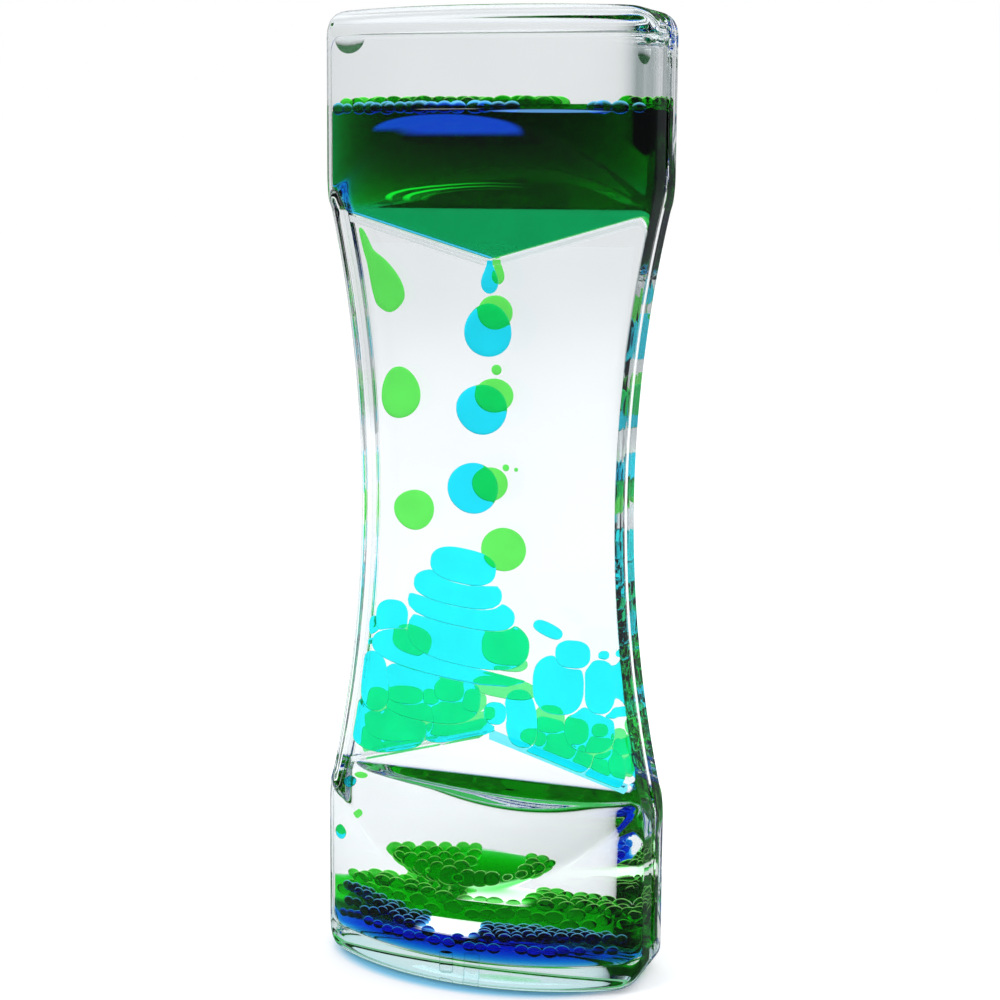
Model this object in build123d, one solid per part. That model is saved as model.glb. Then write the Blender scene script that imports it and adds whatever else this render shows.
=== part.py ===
from build123d import *
from math import cos, radians, sqrt, tan
import os

# A clear hourglass vessel holds two sealed chambers back to back, split by a flat divider. Blue drops
# fall in the front chamber and green drops in the rear one, through a light clear oil. Two ramps near
# each end of a chamber make a funnel with a small orifice, so the timer runs whichever end is up.
# Sizes are in millimetres, +Z is up, the front faces -Y and the origin is the middle of the base.

# Vessel, outside
HEIGHT = 135.0
END_WIDTH = 48.0
WAIST_WIDTH = 37.8
BLOCK_DEPTH = 27.5
EDGE_DEPTH = 11.0
SHOULDER_HEIGHT = 24.3
LEDGE_HEIGHT = 26.6
RIM_HEIGHT = 15.2
CORNER_RADIUS = 3.5
SHOULDER_RADIUS = 6.0
EDGE_RADIUS = 1.2
END_RADIUS = 2.0
LEDGE_RADIUS = 1.0

# Walls, divider and the seam round it
SIDE_WALL = 1.4
END_WALL = 3.3
FRONT_WALL = 2.0
WINDOW_WALL = 1.6
INNER_CORNER_RADIUS = 2.0
DIVIDER_THICKNESS = 2.0
SEAM_DEPTH = 0.25

# Funnel ramps
FUNNEL_HEIGHT = 33.8
RAMP_ANGLE = 16.0
RAMP_THICKNESS = 0.85
ORIFICE_WIDTH = 1.5
RAMP_END_GAP = 1.2

# Filling holes in the base
PLUG_X = -3.5
PLUG_Y = -7.0
PLUG_RADIUS = 0.95
PLUG_CLEARANCE = 0.02
PLUG_RECESS = 0.3

# Liquids. The depth of the upper pools' surface is below the top of the timer
OIL_FILM = 0.2
UPPER_POOL_DEPTH = 12.6
BLUE_LOWER_LEVEL = 6.8
GREEN_LOWER_LEVEL = 9.2
DROP_RIM = 0.9

# Drops that still hang from an orifice: radius, and length below the ramps
BLUE_HANG = (1.25, 3.7)
GREEN_HANG = (0.95, 2.6)
NECK_RADIUS = 0.45

# Thread of green at the left end gap: bulb radius, its drop below the orifice, its gap to the side
THREAD_BULB_RADIUS = 2.6
THREAD_BULB_DROP = 5.2
THREAD_TIP_RADIUS = 0.5
THREAD_TIP_RISE = 3.6
THREAD_SIDE_GAP = 0.3

# Falling drops: share of the free fall, sideways place on it, half width, half height
BLUE_FALL = ((0.14, 0.3, 3.4, 3.7), (0.45, 0.6, 3.7, 3.5), (0.76, 0.5, 3.7, 3.6))
GREEN_FALL = ((0.08, -0.5, 2.5, 2.4), (0.32, -1.0, 2.8, 2.4), (0.58, -2.0, 2.6, 2.4), (0.77, -0.2, 3.3, 3.1))
SIDE_FALL = ((0.25, 1.2, 2.9, 3.7), (0.62, 1.8, 3.0, 2.9))

# Beads that follow the second and third green drops: sideways place, height over the drop, radius
GREEN_BEADS = {2: ((0.2, 3.6, 0.75),), 3: ((2.2, 2.4, 0.5), (3.7, 2.2, 0.3))}

# Settled drops: sideways place, height over the lower orifice, half width, half height.
# A drop gives way to those before it in its list.
BLUE_STACK = ((-3.7, 24.3, 4.9, 2.6), (-4.6, 20.6, 6.6, 2.4), (-4.0, 17.5, 8.1, 2.4),
              (-3.2, 13.5, 9.4, 2.9), (1.2, 10.0, 5.2, 2.6))
BLUE_LEFT = ((-14.8, 14.9, 2.3, 2.6), (-11.7, 9.7, 6.1, 2.6), (-17.9, 5.0, 1.7, 4.0),
             (-8.2, 3.4, 8.3, 4.4))
BLUE_RIGHT = ((9.0, 16.4, 2.2, 1.0), (12.8, 13.3, 2.5, 2.0), (10.6, 8.4, 3.7, 4.2), (16.6, 9.2, 2.1, 3.8),
              (16.0, 2.2, 3.7, 3.4), (5.4, 2.7, 2.2, 4.2), (10.6, -0.4, 5.6, 3.4))
GREEN_MIDDLE = ((-12.9, 11.7, 3.0, 2.3), (1.8, 12.3, 3.4, 3.0), (1.8, 6.1, 5.1, 1.8))
GREEN_LEFT = ((-18.4, 1.4, 1.5, 2.0), (-13.9, 2.9, 2.6, 1.6), (-7.3, 4.8, 2.2, 1.8), (-14.2, -1.6, 4.6, 2.9),
              (-5.6, 1.6, 4.2, 2.5))
GREEN_RIGHT = ((8.6, 3.1, 2.3, 2.3), (12.6, 1.9, 2.1, 2.3), (17.0, 0.6, 2.1, 2.8), (7.9, -0.6, 4.0, 2.4),
               (14.8, -3.0, 4.6, 2.4))

# Drips below the left ramp end: share of the fall to the lower pool, gap to the side, radius
BLUE_DRIPS = ((0.14, 0.5, 0.95), (0.48, 0.4, 1.1))
GREEN_DRIPS = ((0.18, 0.5, 1.05), (0.60, 0.7, 0.6))

RAMP_SLOPE = tan(radians(RAMP_ANGLE))
RAMP_RISE = RAMP_THICKNESS / cos(radians(RAMP_ANGLE))
WINDOW_INSIDE = EDGE_DEPTH / 2 - WINDOW_WALL
DIVIDER_FACE = DIVIDER_THICKNESS / 2
CHAMBER_GAP = WINDOW_INSIDE - DIVIDER_FACE
CHAMBER_MIDDLE = (WINDOW_INSIDE + DIVIDER_FACE) / 2
UPPER_ORIFICE = HEIGHT - FUNNEL_HEIGHT
UPPER_POOL_LEVEL = HEIGHT - UPPER_POOL_DEPTH
MID_PLANE = Plane.XY.offset(HEIGHT / 2)
FRONTWARD = (0, -1, 0)


def half_width(z):
    """Half the vessel's outside width at a height."""
    waist_in = (END_WIDTH - WAIST_WIDTH) / 2
    half_chord = HEIGHT / 2 - SHOULDER_HEIGHT
    radius = (half_chord ** 2 + waist_in ** 2) / (2 * waist_in)
    from_middle = min(abs(z - HEIGHT / 2), half_chord)
    return WAIST_WIDTH / 2 + radius - sqrt(radius ** 2 - from_middle ** 2)


def hourglass(side_wall, end_wall, corner_radius):
    """Front view of the vessel, drawn in by a wall at its sides and ends."""
    wide = END_WIDTH / 2 - side_wall
    waist = WAIST_WIDTH / 2 - side_wall
    low, high = end_wall, HEIGHT - end_wall
    right = ThreePointArc((wide, SHOULDER_HEIGHT), (waist, HEIGHT / 2), (wide, HEIGHT - SHOULDER_HEIGHT))
    left = ThreePointArc((-wide, HEIGHT - SHOULDER_HEIGHT), (-waist, HEIGHT / 2), (-wide, SHOULDER_HEIGHT))
    top = Polyline(right @ 1, (wide, high), (-wide, high), left @ 0)
    bottom = Polyline(left @ 1, (-wide, low), (wide, low), right @ 0)
    face = make_face([right, top, left, bottom])
    ends = face.vertices().sort_by(Axis.Y)
    face = fillet(ends[:2] + ends[-2:], corner_radius)
    shoulders = [v for v in face.vertices() if min(abs(v.Y - SHOULDER_HEIGHT),
                                                   abs(v.Y - HEIGHT + SHOULDER_HEIGHT)) < 0.01]
    return fillet(shoulders, SHOULDER_RADIUS)


def bow_disc(wall):
    """Plan disc whose front edge is the bowed front of the end blocks, drawn in by a wall."""
    rise = (BLOCK_DEPTH - EDGE_DEPTH) / 2
    radius = ((END_WIDTH / 2) ** 2 + rise ** 2) / (2 * rise)
    return Pos(0, radius - BLOCK_DEPTH / 2) * Circle(radius - wall)


def front_hollow(wall):
    """Scooped space in front of the window, grown by a wall."""
    run = (BLOCK_DEPTH - EDGE_DEPTH) / 2
    reach = BLOCK_DEPTH
    drop = (LEDGE_HEIGHT - RIM_HEIGHT) * (reach - EDGE_DEPTH / 2) / run
    window = -EDGE_DEPTH / 2
    profile = Polygon((window, LEDGE_HEIGHT), (window, HEIGHT - LEDGE_HEIGHT),
                      (-reach, HEIGHT - LEDGE_HEIGHT + drop), (-reach, LEDGE_HEIGHT - drop), align=None)
    ledges = profile.vertices().sort_by(Axis.X)[-2:]
    profile = fillet(ledges, LEDGE_RADIUS)
    if wall:
        profile = offset(profile, wall, kind=Kind.INTERSECTION)
    return extrude(Plane.YZ * profile, END_WIDTH, both=True)


def vessel():
    """Outside of the whole vessel as one solid: its front, plan and side views, less the hollows."""
    plan = bow_disc(0) & mirror(bow_disc(0), about=Plane.XZ) & Rectangle(END_WIDTH, BLOCK_DEPTH)
    plan = fillet(plan.vertices(), EDGE_RADIUS)
    side = Pos(0, HEIGHT / 2) * RectangleRounded(BLOCK_DEPTH, HEIGHT, END_RADIUS)
    body = extrude(Plane.XZ * hourglass(0, 0, CORNER_RADIUS), BLOCK_DEPTH, both=True)
    body = body & extrude(plan, HEIGHT) & extrude(Plane.YZ * side, END_WIDTH, both=True)
    return body - front_hollow(0) - mirror(front_hollow(0), about=Plane.XZ)


def chamber(film):
    """Space inside the front shell, drawn in by a film."""
    view = hourglass(SIDE_WALL + film, END_WALL + film, INNER_CORNER_RADIUS)
    space = Pos(0, -DIVIDER_FACE - film, 0) * extrude(Plane.XZ * view, BLOCK_DEPTH)
    space = space & extrude(bow_disc(FRONT_WALL + film), HEIGHT)
    return space - front_hollow(WINDOW_WALL + film)


def front_shell():
    """Clear moulded front half, hollow behind, with its filling hole."""
    front_half = Box(2 * END_WIDTH, BLOCK_DEPTH, 2 * HEIGHT)
    front_half = Pos(0, -DIVIDER_FACE - BLOCK_DEPTH / 2, HEIGHT / 2) * front_half
    hole = Pos(PLUG_X, PLUG_Y, END_WALL / 2) * Cylinder(PLUG_RADIUS + PLUG_CLEARANCE, 2 * END_WALL)
    return (vessel() & front_half) - chamber(0) - hole


def fill_plug():
    """Round plug that closes the front filling hole."""
    length = END_WALL - PLUG_RECESS
    return Pos(PLUG_X, PLUG_Y, PLUG_RECESS + length / 2) * Cylinder(PLUG_RADIUS, length)


def divider_panel():
    """Flat plate between the chambers, with its edge just inside the shells' edges."""
    outline = hourglass(SEAM_DEPTH, SEAM_DEPTH, CORNER_RADIUS)
    return extrude(Plane.XZ * outline, DIVIDER_THICKNESS / 2, both=True)


def upper_ramp(side):
    """One arm of the front upper funnel, from the orifice to its end gap, on side 1 or -1."""
    inner = ORIFICE_WIDTH / 2
    outer_height = UPPER_ORIFICE + RAMP_SLOPE * END_WIDTH / 2
    outer = half_width(outer_height) - SIDE_WALL - RAMP_END_GAP
    top = [(side * x, UPPER_ORIFICE + RAMP_SLOPE * x) for x in (inner, outer)]
    bottom = [(x, z - RAMP_RISE) for x, z in reversed(top)]
    arm = Polygon(*top, *bottom, align=None)
    return Pos(0, -DIVIDER_FACE, 0) * extrude(Plane.XZ * arm, CHAMBER_GAP, dir=FRONTWARD)


def above_upper_ramps(level):
    """Front view of the space over the upper funnel, up to a liquid level."""
    wide = END_WIDTH
    floor = UPPER_ORIFICE + OIL_FILM
    return Polygon((0, floor), (wide, floor + RAMP_SLOPE * wide), (wide, level + wide), (-wide, level + wide),
                   (-wide, floor + RAMP_SLOPE * wide), align=None) & Pos(0, level - HEIGHT) * Rectangle(
                       2 * wide, 2 * HEIGHT)


def upper_pool():
    """Coloured liquid still waiting over the front upper funnel."""
    view = above_upper_ramps(UPPER_POOL_LEVEL)
    return chamber(OIL_FILM) & extrude(Plane.XZ * view, BLOCK_DEPTH)


def lower_pool(level):
    """Coloured liquid that has run down to the bottom of the front chamber."""
    view = Pos(0, level / 2) * Rectangle(2 * END_WIDTH, level)
    return chamber(OIL_FILM) & extrude(Plane.XZ * view, BLOCK_DEPTH)


def flat_drop(outline):
    """Drop squeezed between window and divider, a film of oil clear of both."""
    return Pos(0, -DIVIDER_FACE - OIL_FILM, 0) * extrude(Plane.XZ * outline, CHAMBER_GAP - 2 * OIL_FILM)


def falling_drop(x, z, half_wide, half_high):
    """Flat oval drop with a rounded rim."""
    drop = flat_drop(Pos(x, z) * Ellipse(half_wide, half_high))
    return fillet(drop.edges(), DROP_RIM)


def bead(x, z, radius):
    """Small round drop, a film of oil behind the window."""
    return Pos(x, radius + OIL_FILM - WINDOW_INSIDE, z) * Sphere(radius)


def hanging_drop(radius, length):
    """Drop that hangs by a neck through the orifice of the upper funnel."""
    bottom = UPPER_ORIFICE - RAMP_RISE - length
    body = Pos(0, bottom + radius) * Circle(radius)
    neck = Pos(0, UPPER_ORIFICE - NECK_RADIUS) * Circle(NECK_RADIUS)
    outline = make_hull(body.edges() + neck.edges())
    half = outline & Pos(END_WIDTH / 2, HEIGHT / 2) * Rectangle(END_WIDTH, 2 * HEIGHT)
    return Pos(0, -CHAMBER_MIDDLE, 0) * revolve(Plane.XZ * half, Axis.Z)


def side_thread():
    """Flat teardrop that runs through the left end gap of the upper funnel and down the side."""
    tip_height = UPPER_ORIFICE + THREAD_TIP_RISE
    bulb_height = UPPER_ORIFICE - THREAD_BULB_DROP
    tip_side = SIDE_WALL + THREAD_SIDE_GAP + THREAD_TIP_RADIUS
    bulb_side = SIDE_WALL + THREAD_SIDE_GAP + THREAD_BULB_RADIUS
    tip = Pos(tip_side - half_width(tip_height), tip_height) * Circle(THREAD_TIP_RADIUS)
    bulb = Pos(bulb_side - half_width(bulb_height), bulb_height) * Circle(THREAD_BULB_RADIUS)
    return flat_drop(make_hull(tip.edges() + bulb.edges()))


def over_lower_ramps():
    """Front view of the space over the lower funnel, a film of oil clear of sides and ramps."""
    wide = END_WIDTH
    floor = FUNNEL_HEIGHT + RAMP_RISE + OIL_FILM
    roof = Polygon((0, floor), (-wide, floor - RAMP_SLOPE * wide), (-wide, HEIGHT), (wide, HEIGHT),
                   (wide, floor - RAMP_SLOPE * wide), align=None)
    return roof & hourglass(SIDE_WALL + OIL_FILM, END_WALL, INNER_CORNER_RADIUS)


def settled_drops(*lists):
    """Flat drops squeezed together on the lower ramps, one group of solids for each list."""
    space = over_lower_ramps()
    groups = []
    for drops in lists:
        solids = []
        for x, height, half_wide, half_high in drops:
            place = Pos(x, FUNNEL_HEIGHT + height)
            outline = (place * Ellipse(half_wide, half_high)) & space
            solids.append(flat_drop(outline.faces().sort_by(SortBy.AREA)[-1]))
            space = space - place * Ellipse(half_wide + OIL_FILM, half_high + OIL_FILM)
        groups.append(Compound(children=solids))
    return groups


def fall_path(start, landing, drops):
    """Places of falling drops on the straight way from a hanging drop to where they land."""
    (start_x, start_z), (end_x, end_z) = start, landing
    return [(start_x + share * (end_x - start_x) + aside, start_z + share * (end_z - start_z), wide, high)
            for share, aside, wide, high in drops]


def landing(drop):
    """Top of a settled drop."""
    x, height, _, half_high = drop
    return x, FUNNEL_HEIGHT + height + half_high


def hang_end(hang):
    """Lowest point of a hanging drop."""
    return 0, UPPER_ORIFICE - RAMP_RISE - hang[1]


def drips(rows, level):
    """Round drops below the lower ramps' left end gap, on their way to a lower pool."""
    start = FUNNEL_HEIGHT - RAMP_SLOPE * END_WIDTH / 2
    solids = []
    for share, side_gap, radius in rows:
        z = start + share * (level - start)
        solids.append(bead(SIDE_WALL + side_gap + radius - half_width(z), z, radius))
    return solids


def to_rear(solid):
    """The same piece in the rear chamber."""
    return mirror(solid, about=Plane.XZ)


def build():
    """Every piece of the timer by name."""
    shell = front_shell()
    pieces = {"front_shell": shell, "rear_shell": to_rear(shell), "divider_panel": divider_panel()}
    plug = fill_plug()
    pieces["front_fill_plug"] = plug
    pieces["rear_fill_plug"] = to_rear(plug)
    for side_name, side in (("left", -1), ("right", 1)):
        ramp = upper_ramp(side)
        lower = mirror(ramp, about=MID_PLANE)
        pieces[f"front_upper_{side_name}_ramp"] = ramp
        pieces[f"front_lower_{side_name}_ramp"] = lower
        pieces[f"rear_upper_{side_name}_ramp"] = to_rear(ramp)
        pieces[f"rear_lower_{side_name}_ramp"] = to_rear(lower)
    pool = upper_pool()
    pieces["blue_upper_pool"] = pool
    pieces["green_upper_pool"] = to_rear(pool)
    pieces["blue_lower_pool"] = lower_pool(BLUE_LOWER_LEVEL)
    pieces["green_lower_pool"] = to_rear(lower_pool(GREEN_LOWER_LEVEL))
    pieces["blue_hanging_drop"] = hanging_drop(*BLUE_HANG)
    pieces["green_hanging_drop"] = to_rear(hanging_drop(*GREEN_HANG))
    thread = side_thread()
    pieces["green_side_thread"] = to_rear(thread)

    blue_path = fall_path(hang_end(BLUE_HANG), landing(BLUE_STACK[0]), BLUE_FALL)
    for number, place in enumerate(blue_path, 1):
        pieces[f"blue_drop_{number}"] = falling_drop(*place)
    green_path = fall_path(hang_end(GREEN_HANG), landing(GREEN_MIDDLE[1]), GREEN_FALL)
    for number, place in enumerate(green_path, 1):
        pieces[f"green_drop_{number}"] = to_rear(falling_drop(*place))
        if number in GREEN_BEADS:
            beads = [to_rear(bead(place[0] + aside, place[1] + over, radius))
                     for aside, over, radius in GREEN_BEADS[number]]
            pieces[f"green_drop_{number}_beads"] = Compound(children=beads)
    bulb = thread.bounding_box()
    bulb_end = (bulb.max.X - THREAD_BULB_RADIUS, bulb.min.Z)
    for number, place in enumerate(fall_path(bulb_end, landing(GREEN_MIDDLE[0]), SIDE_FALL), 1):
        pieces[f"green_side_drop_{number}"] = to_rear(falling_drop(*place))

    stack, left, right = settled_drops(BLUE_STACK, BLUE_LEFT, BLUE_RIGHT)
    pieces["blue_settled_stack"] = stack
    pieces["blue_settled_left"] = left
    pieces["blue_settled_right"] = right
    middle, left, right = settled_drops(GREEN_MIDDLE, GREEN_LEFT, GREEN_RIGHT)
    pieces["green_settled_middle"] = to_rear(middle)
    pieces["green_settled_left"] = to_rear(left)
    pieces["green_settled_right"] = to_rear(right)
    for number, drip in enumerate(drips(BLUE_DRIPS, BLUE_LOWER_LEVEL), 1):
        pieces[f"blue_drip_{number}"] = drip
    for number, drip in enumerate(drips(GREEN_DRIPS, GREEN_LOWER_LEVEL), 1):
        pieces[f"green_drip_{number}"] = to_rear(drip)
    return pieces


os.makedirs("parts", exist_ok=True)
for name, solid in build().items():
    export_step(solid, f"parts/{name}.step")
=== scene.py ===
import math

import bpy
import numpy as np
from bpy.props import FloatProperty, FloatVectorProperty, IntProperty, PointerProperty
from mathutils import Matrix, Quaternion, Vector


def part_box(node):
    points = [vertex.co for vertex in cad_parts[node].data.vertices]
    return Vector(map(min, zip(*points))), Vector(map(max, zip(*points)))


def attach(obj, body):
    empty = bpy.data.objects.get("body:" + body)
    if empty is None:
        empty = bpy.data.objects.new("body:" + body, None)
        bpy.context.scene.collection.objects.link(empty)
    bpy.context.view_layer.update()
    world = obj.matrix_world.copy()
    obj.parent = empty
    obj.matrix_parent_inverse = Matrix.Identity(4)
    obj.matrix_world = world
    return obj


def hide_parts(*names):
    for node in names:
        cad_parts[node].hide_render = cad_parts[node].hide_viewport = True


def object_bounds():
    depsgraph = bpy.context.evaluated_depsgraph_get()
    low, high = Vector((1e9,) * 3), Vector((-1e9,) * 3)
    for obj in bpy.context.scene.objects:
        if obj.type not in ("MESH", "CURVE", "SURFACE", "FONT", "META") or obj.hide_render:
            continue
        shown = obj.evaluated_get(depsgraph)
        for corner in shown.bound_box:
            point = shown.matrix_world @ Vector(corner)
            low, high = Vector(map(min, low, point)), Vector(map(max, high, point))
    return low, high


bl_info = {
    "name": "Liquid Motion Timer",
    "version": (1, 0, 0),
    "blender": (4, 5, 0),
    "location": "View3D > Sidebar > Timer",
    "description": "Builds the clear vessel, the liquids and the studio of a liquid motion timer",
    "category": "Object",
}

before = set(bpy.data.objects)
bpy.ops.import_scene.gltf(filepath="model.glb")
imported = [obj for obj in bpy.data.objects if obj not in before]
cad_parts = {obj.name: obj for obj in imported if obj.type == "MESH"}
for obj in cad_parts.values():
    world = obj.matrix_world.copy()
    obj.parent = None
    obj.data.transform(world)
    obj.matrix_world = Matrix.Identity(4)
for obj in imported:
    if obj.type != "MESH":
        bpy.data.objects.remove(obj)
CAD_LOW, CAD_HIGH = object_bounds()
MM = 0.001
SIDES = (("front", "blue"), ("rear", "green"))
FULLNESS = 2.6  # Power of the settled drops' ovals, where 2 is a plain oval
SHARP_ANGLE = math.radians(35)
TURN_STEPS = 40  # Points round a turned form
CLEAR_TINT = (0.95, 0.97, 0.97)

# How much each clear stuff bends light. Oil, glue and plastic bend it almost alike.
OUTSIDE_BEND, OIL_BEND, FILM_BEND, PLUG_BEND = 1.47, 1.015, 1.02, 1.03
POOL_BEND, DROP_BEND, BEAD_BEND, AIR_BEND = 1.012, 1.02, 1.08, 1.03
# Red, green and blue light that a metre of each pool takes away
TAKEN = {"blue_upper": (1500, 290, 26), "blue_lower": (1500, 430, 45),
         "green_upper": (1500, 165, 1100), "green_lower": (1300, 105, 1100)}


class TimerVessel(bpy.types.PropertyGroup):
    """Sizes of the clear vessel."""

    height: FloatProperty(name="Height", description="Height over both end blocks",
                          default=CAD_HIGH.z - CAD_LOW.z, unit="LENGTH", precision=4)
    end_width: FloatProperty(name="End width", description="Width of the end blocks",
                             default=CAD_HIGH.x - CAD_LOW.x, unit="LENGTH", precision=4)
    waist_width: FloatProperty(name="Waist width", description="Width at mid height",
                               default=0.0378, unit="LENGTH", precision=4)
    block_depth: FloatProperty(name="Block depth", description="Depth of an end block at its middle",
                               default=CAD_HIGH.y - CAD_LOW.y, unit="LENGTH", precision=4)
    edge_depth: FloatProperty(name="Edge depth", description="Depth over the windows and at the side edges",
                              default=0.011, unit="LENGTH", precision=4)
    shoulder_height: FloatProperty(name="Shoulder height", description="Where the sides start to curve in",
                                   default=0.0243, unit="LENGTH", precision=4)
    ledge_height: FloatProperty(name="Ledge height", description="Where the window meets the sloping ledge",
                                default=0.0266, unit="LENGTH", precision=4)
    rim_height: FloatProperty(name="Rim height", description="Where the ledge meets the bowed front",
                              default=0.0152, unit="LENGTH", precision=4)
    corner_radius: FloatProperty(name="Corner radius", description="Rounding of the front view's corners",
                                 default=0.0035, unit="LENGTH", precision=4)
    edge_radius: FloatProperty(name="Edge radius", description="Rounding of the long side edges",
                               default=0.0011, unit="LENGTH", precision=4)
    end_radius: FloatProperty(name="End radius", description="Rounding of the top and bottom edges",
                              default=0.0016, unit="LENGTH", precision=4)
    rim_softness: FloatProperty(name="Rim softness", description="How gently ledge and bow blend",
                                default=0.0005, unit="LENGTH", precision=4)
    side_wall: FloatProperty(name="Side wall", description="Wall at the sides of a chamber",
                             default=0.0014, unit="LENGTH", precision=4)
    end_wall: FloatProperty(name="End wall", description="Wall at the ends of a chamber",
                            default=0.0033, unit="LENGTH", precision=4)
    front_wall: FloatProperty(name="Front wall", description="Wall behind the bowed front",
                              default=0.002, unit="LENGTH", precision=4)
    window_wall: FloatProperty(name="Window wall", description="Wall behind window and ledge",
                               default=0.0016, unit="LENGTH", precision=4)
    inner_corner: FloatProperty(name="Inner corner", description="Rounding of a chamber's corners",
                                default=0.002, unit="LENGTH", precision=4)
    divider: FloatProperty(name="Divider", description="Thickness of the plate between the chambers",
                           default=0.002, unit="LENGTH", precision=4)
    seam_depth: FloatProperty(name="Seam depth", description="How far the divider's edge lies inside the sides",
                              default=0.00025, unit="LENGTH", precision=5)
    seam_gap: FloatProperty(name="Seam gap", description="Glue line between shell and divider",
                            default=0.00003, unit="LENGTH", precision=5)
    funnel_height: FloatProperty(name="Funnel height", description="Lower orifice over the base",
                                 default=0.0338, unit="LENGTH", precision=4)
    ramp_angle: FloatProperty(name="Ramp angle", description="Slope of the funnel ramps",
                              default=math.radians(16.0), subtype="ANGLE")
    ramp_thickness: FloatProperty(name="Ramp thickness", description="Thickness of a funnel ramp",
                                  default=0.00085, unit="LENGTH", precision=5)
    clear_tint: FloatVectorProperty(name="Clear plastic", description="Tint of the clear plastic",
                                    default=(0.950, 0.958, 0.960), subtype="COLOR", min=0, max=1)
    # Painted light: the blue light that the lower pools shine into the base, painted into the plastic's colour
    base_pool_light: FloatVectorProperty(name="Base", description="Tint of the clear plastic below the lower pools",
                                   default=(0.66, 0.97, 1.0), subtype="COLOR", min=0, max=1)


class TimerLiquid(bpy.types.PropertyGroup):
    """Sizes and colours of the liquids."""

    oil_film: FloatProperty(name="Oil film", description="Oil between a liquid and the walls",
                            default=0.0002, unit="LENGTH", precision=5)
    window_film: FloatProperty(name="Window film", description="Oil between an upper pool and the window",
                               default=0.0009, unit="LENGTH", precision=5)
    surface_dip: FloatProperty(name="Surface dip", description="How far the blue surface lies below its beads",
                               default=0.0009, unit="LENGTH", precision=5)
    lens_place: FloatVectorProperty(name="Lens place", description="Sideways place and height of the blue light "
                                    "under the surface", size=2, default=(-3.6 * MM, 118.6 * MM), unit="LENGTH")
    lens_half: FloatVectorProperty(name="Lens half size", description="Half width and height of the blue light",
                                   size=2, default=(11.4 * MM, 2.3 * MM), unit="LENGTH")
    lens_colour: FloatVectorProperty(name="Lens", description="Colour of the blue light under the surface",
                                     default=(0.005, 0.055, 0.58), subtype="COLOR", min=0, max=1)
    arc_place: FloatVectorProperty(name="Arc place", description="Sideways place and height of the green light "
                                   "over the ledge", size=2, default=(2.0 * MM, 110.0 * MM), unit="LENGTH")
    arc_half: FloatVectorProperty(name="Arc half size", description="Half width and height of the green light",
                                  size=2, default=(18.6 * MM, 2.6 * MM), unit="LENGTH")
    arc_colour: FloatVectorProperty(name="Arc", description="Colour of the green light over the ledge",
                                    default=(0.004, 0.72, 0.03), subtype="COLOR", min=0, max=1)
    # Painted highlight: a pale line of light that shines at the edge of the blue pool's surface
    highlight_line_place: FloatVectorProperty(name="Line place", description="Sideways place of the pale line at the edge "
                                    "of the blue surface, and how deep it lies", size=2,
                                    default=(10.5 * MM, 0.3 * MM), unit="LENGTH")
    highlight_line_half: FloatVectorProperty(name="Line half size", description="Half length and height of the pale line",
                                   size=2, default=(8.4 * MM, 0.26 * MM), unit="LENGTH")
    highlight_line_colour: FloatVectorProperty(name="Line", description="Colour of the pale line at the blue surface's edge",
                                     default=(0.12, 0.34, 0.72), subtype="COLOR", min=0, max=1)
    pool_edge: FloatProperty(name="Pool edge", description="Rounding of a pool's edges",
                             default=0.0005, unit="LENGTH", precision=5)
    drop_rim: FloatProperty(name="Drop rim", description="Rounding of a flat drop's rim",
                            default=0.0009, unit="LENGTH", precision=5)
    bead_seed: IntProperty(name="Bead seed", description="Seed of the beads' places and sizes", default=4)
    blue: FloatVectorProperty(name="Blue drops", description="Colour that a blue drop lets through",
                              default=(0.016, 0.80, 1.0), subtype="COLOR", min=0, max=1)
    green: FloatVectorProperty(name="Green drops", description="Colour that a green drop lets through",
                               default=(0.15, 0.90, 0.13), subtype="COLOR", min=0, max=1)
    blue_settled: FloatVectorProperty(name="Settled blue",
                                      description="Colour that a settled blue drop lets through",
                                      default=(0.022, 0.95, 1.0), subtype="COLOR", min=0, max=1)
    green_settled: FloatVectorProperty(name="Settled green",
                                       description="Colour that a settled green drop lets through",
                                       default=(0.15, 0.93, 0.30), subtype="COLOR", min=0, max=1)


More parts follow.
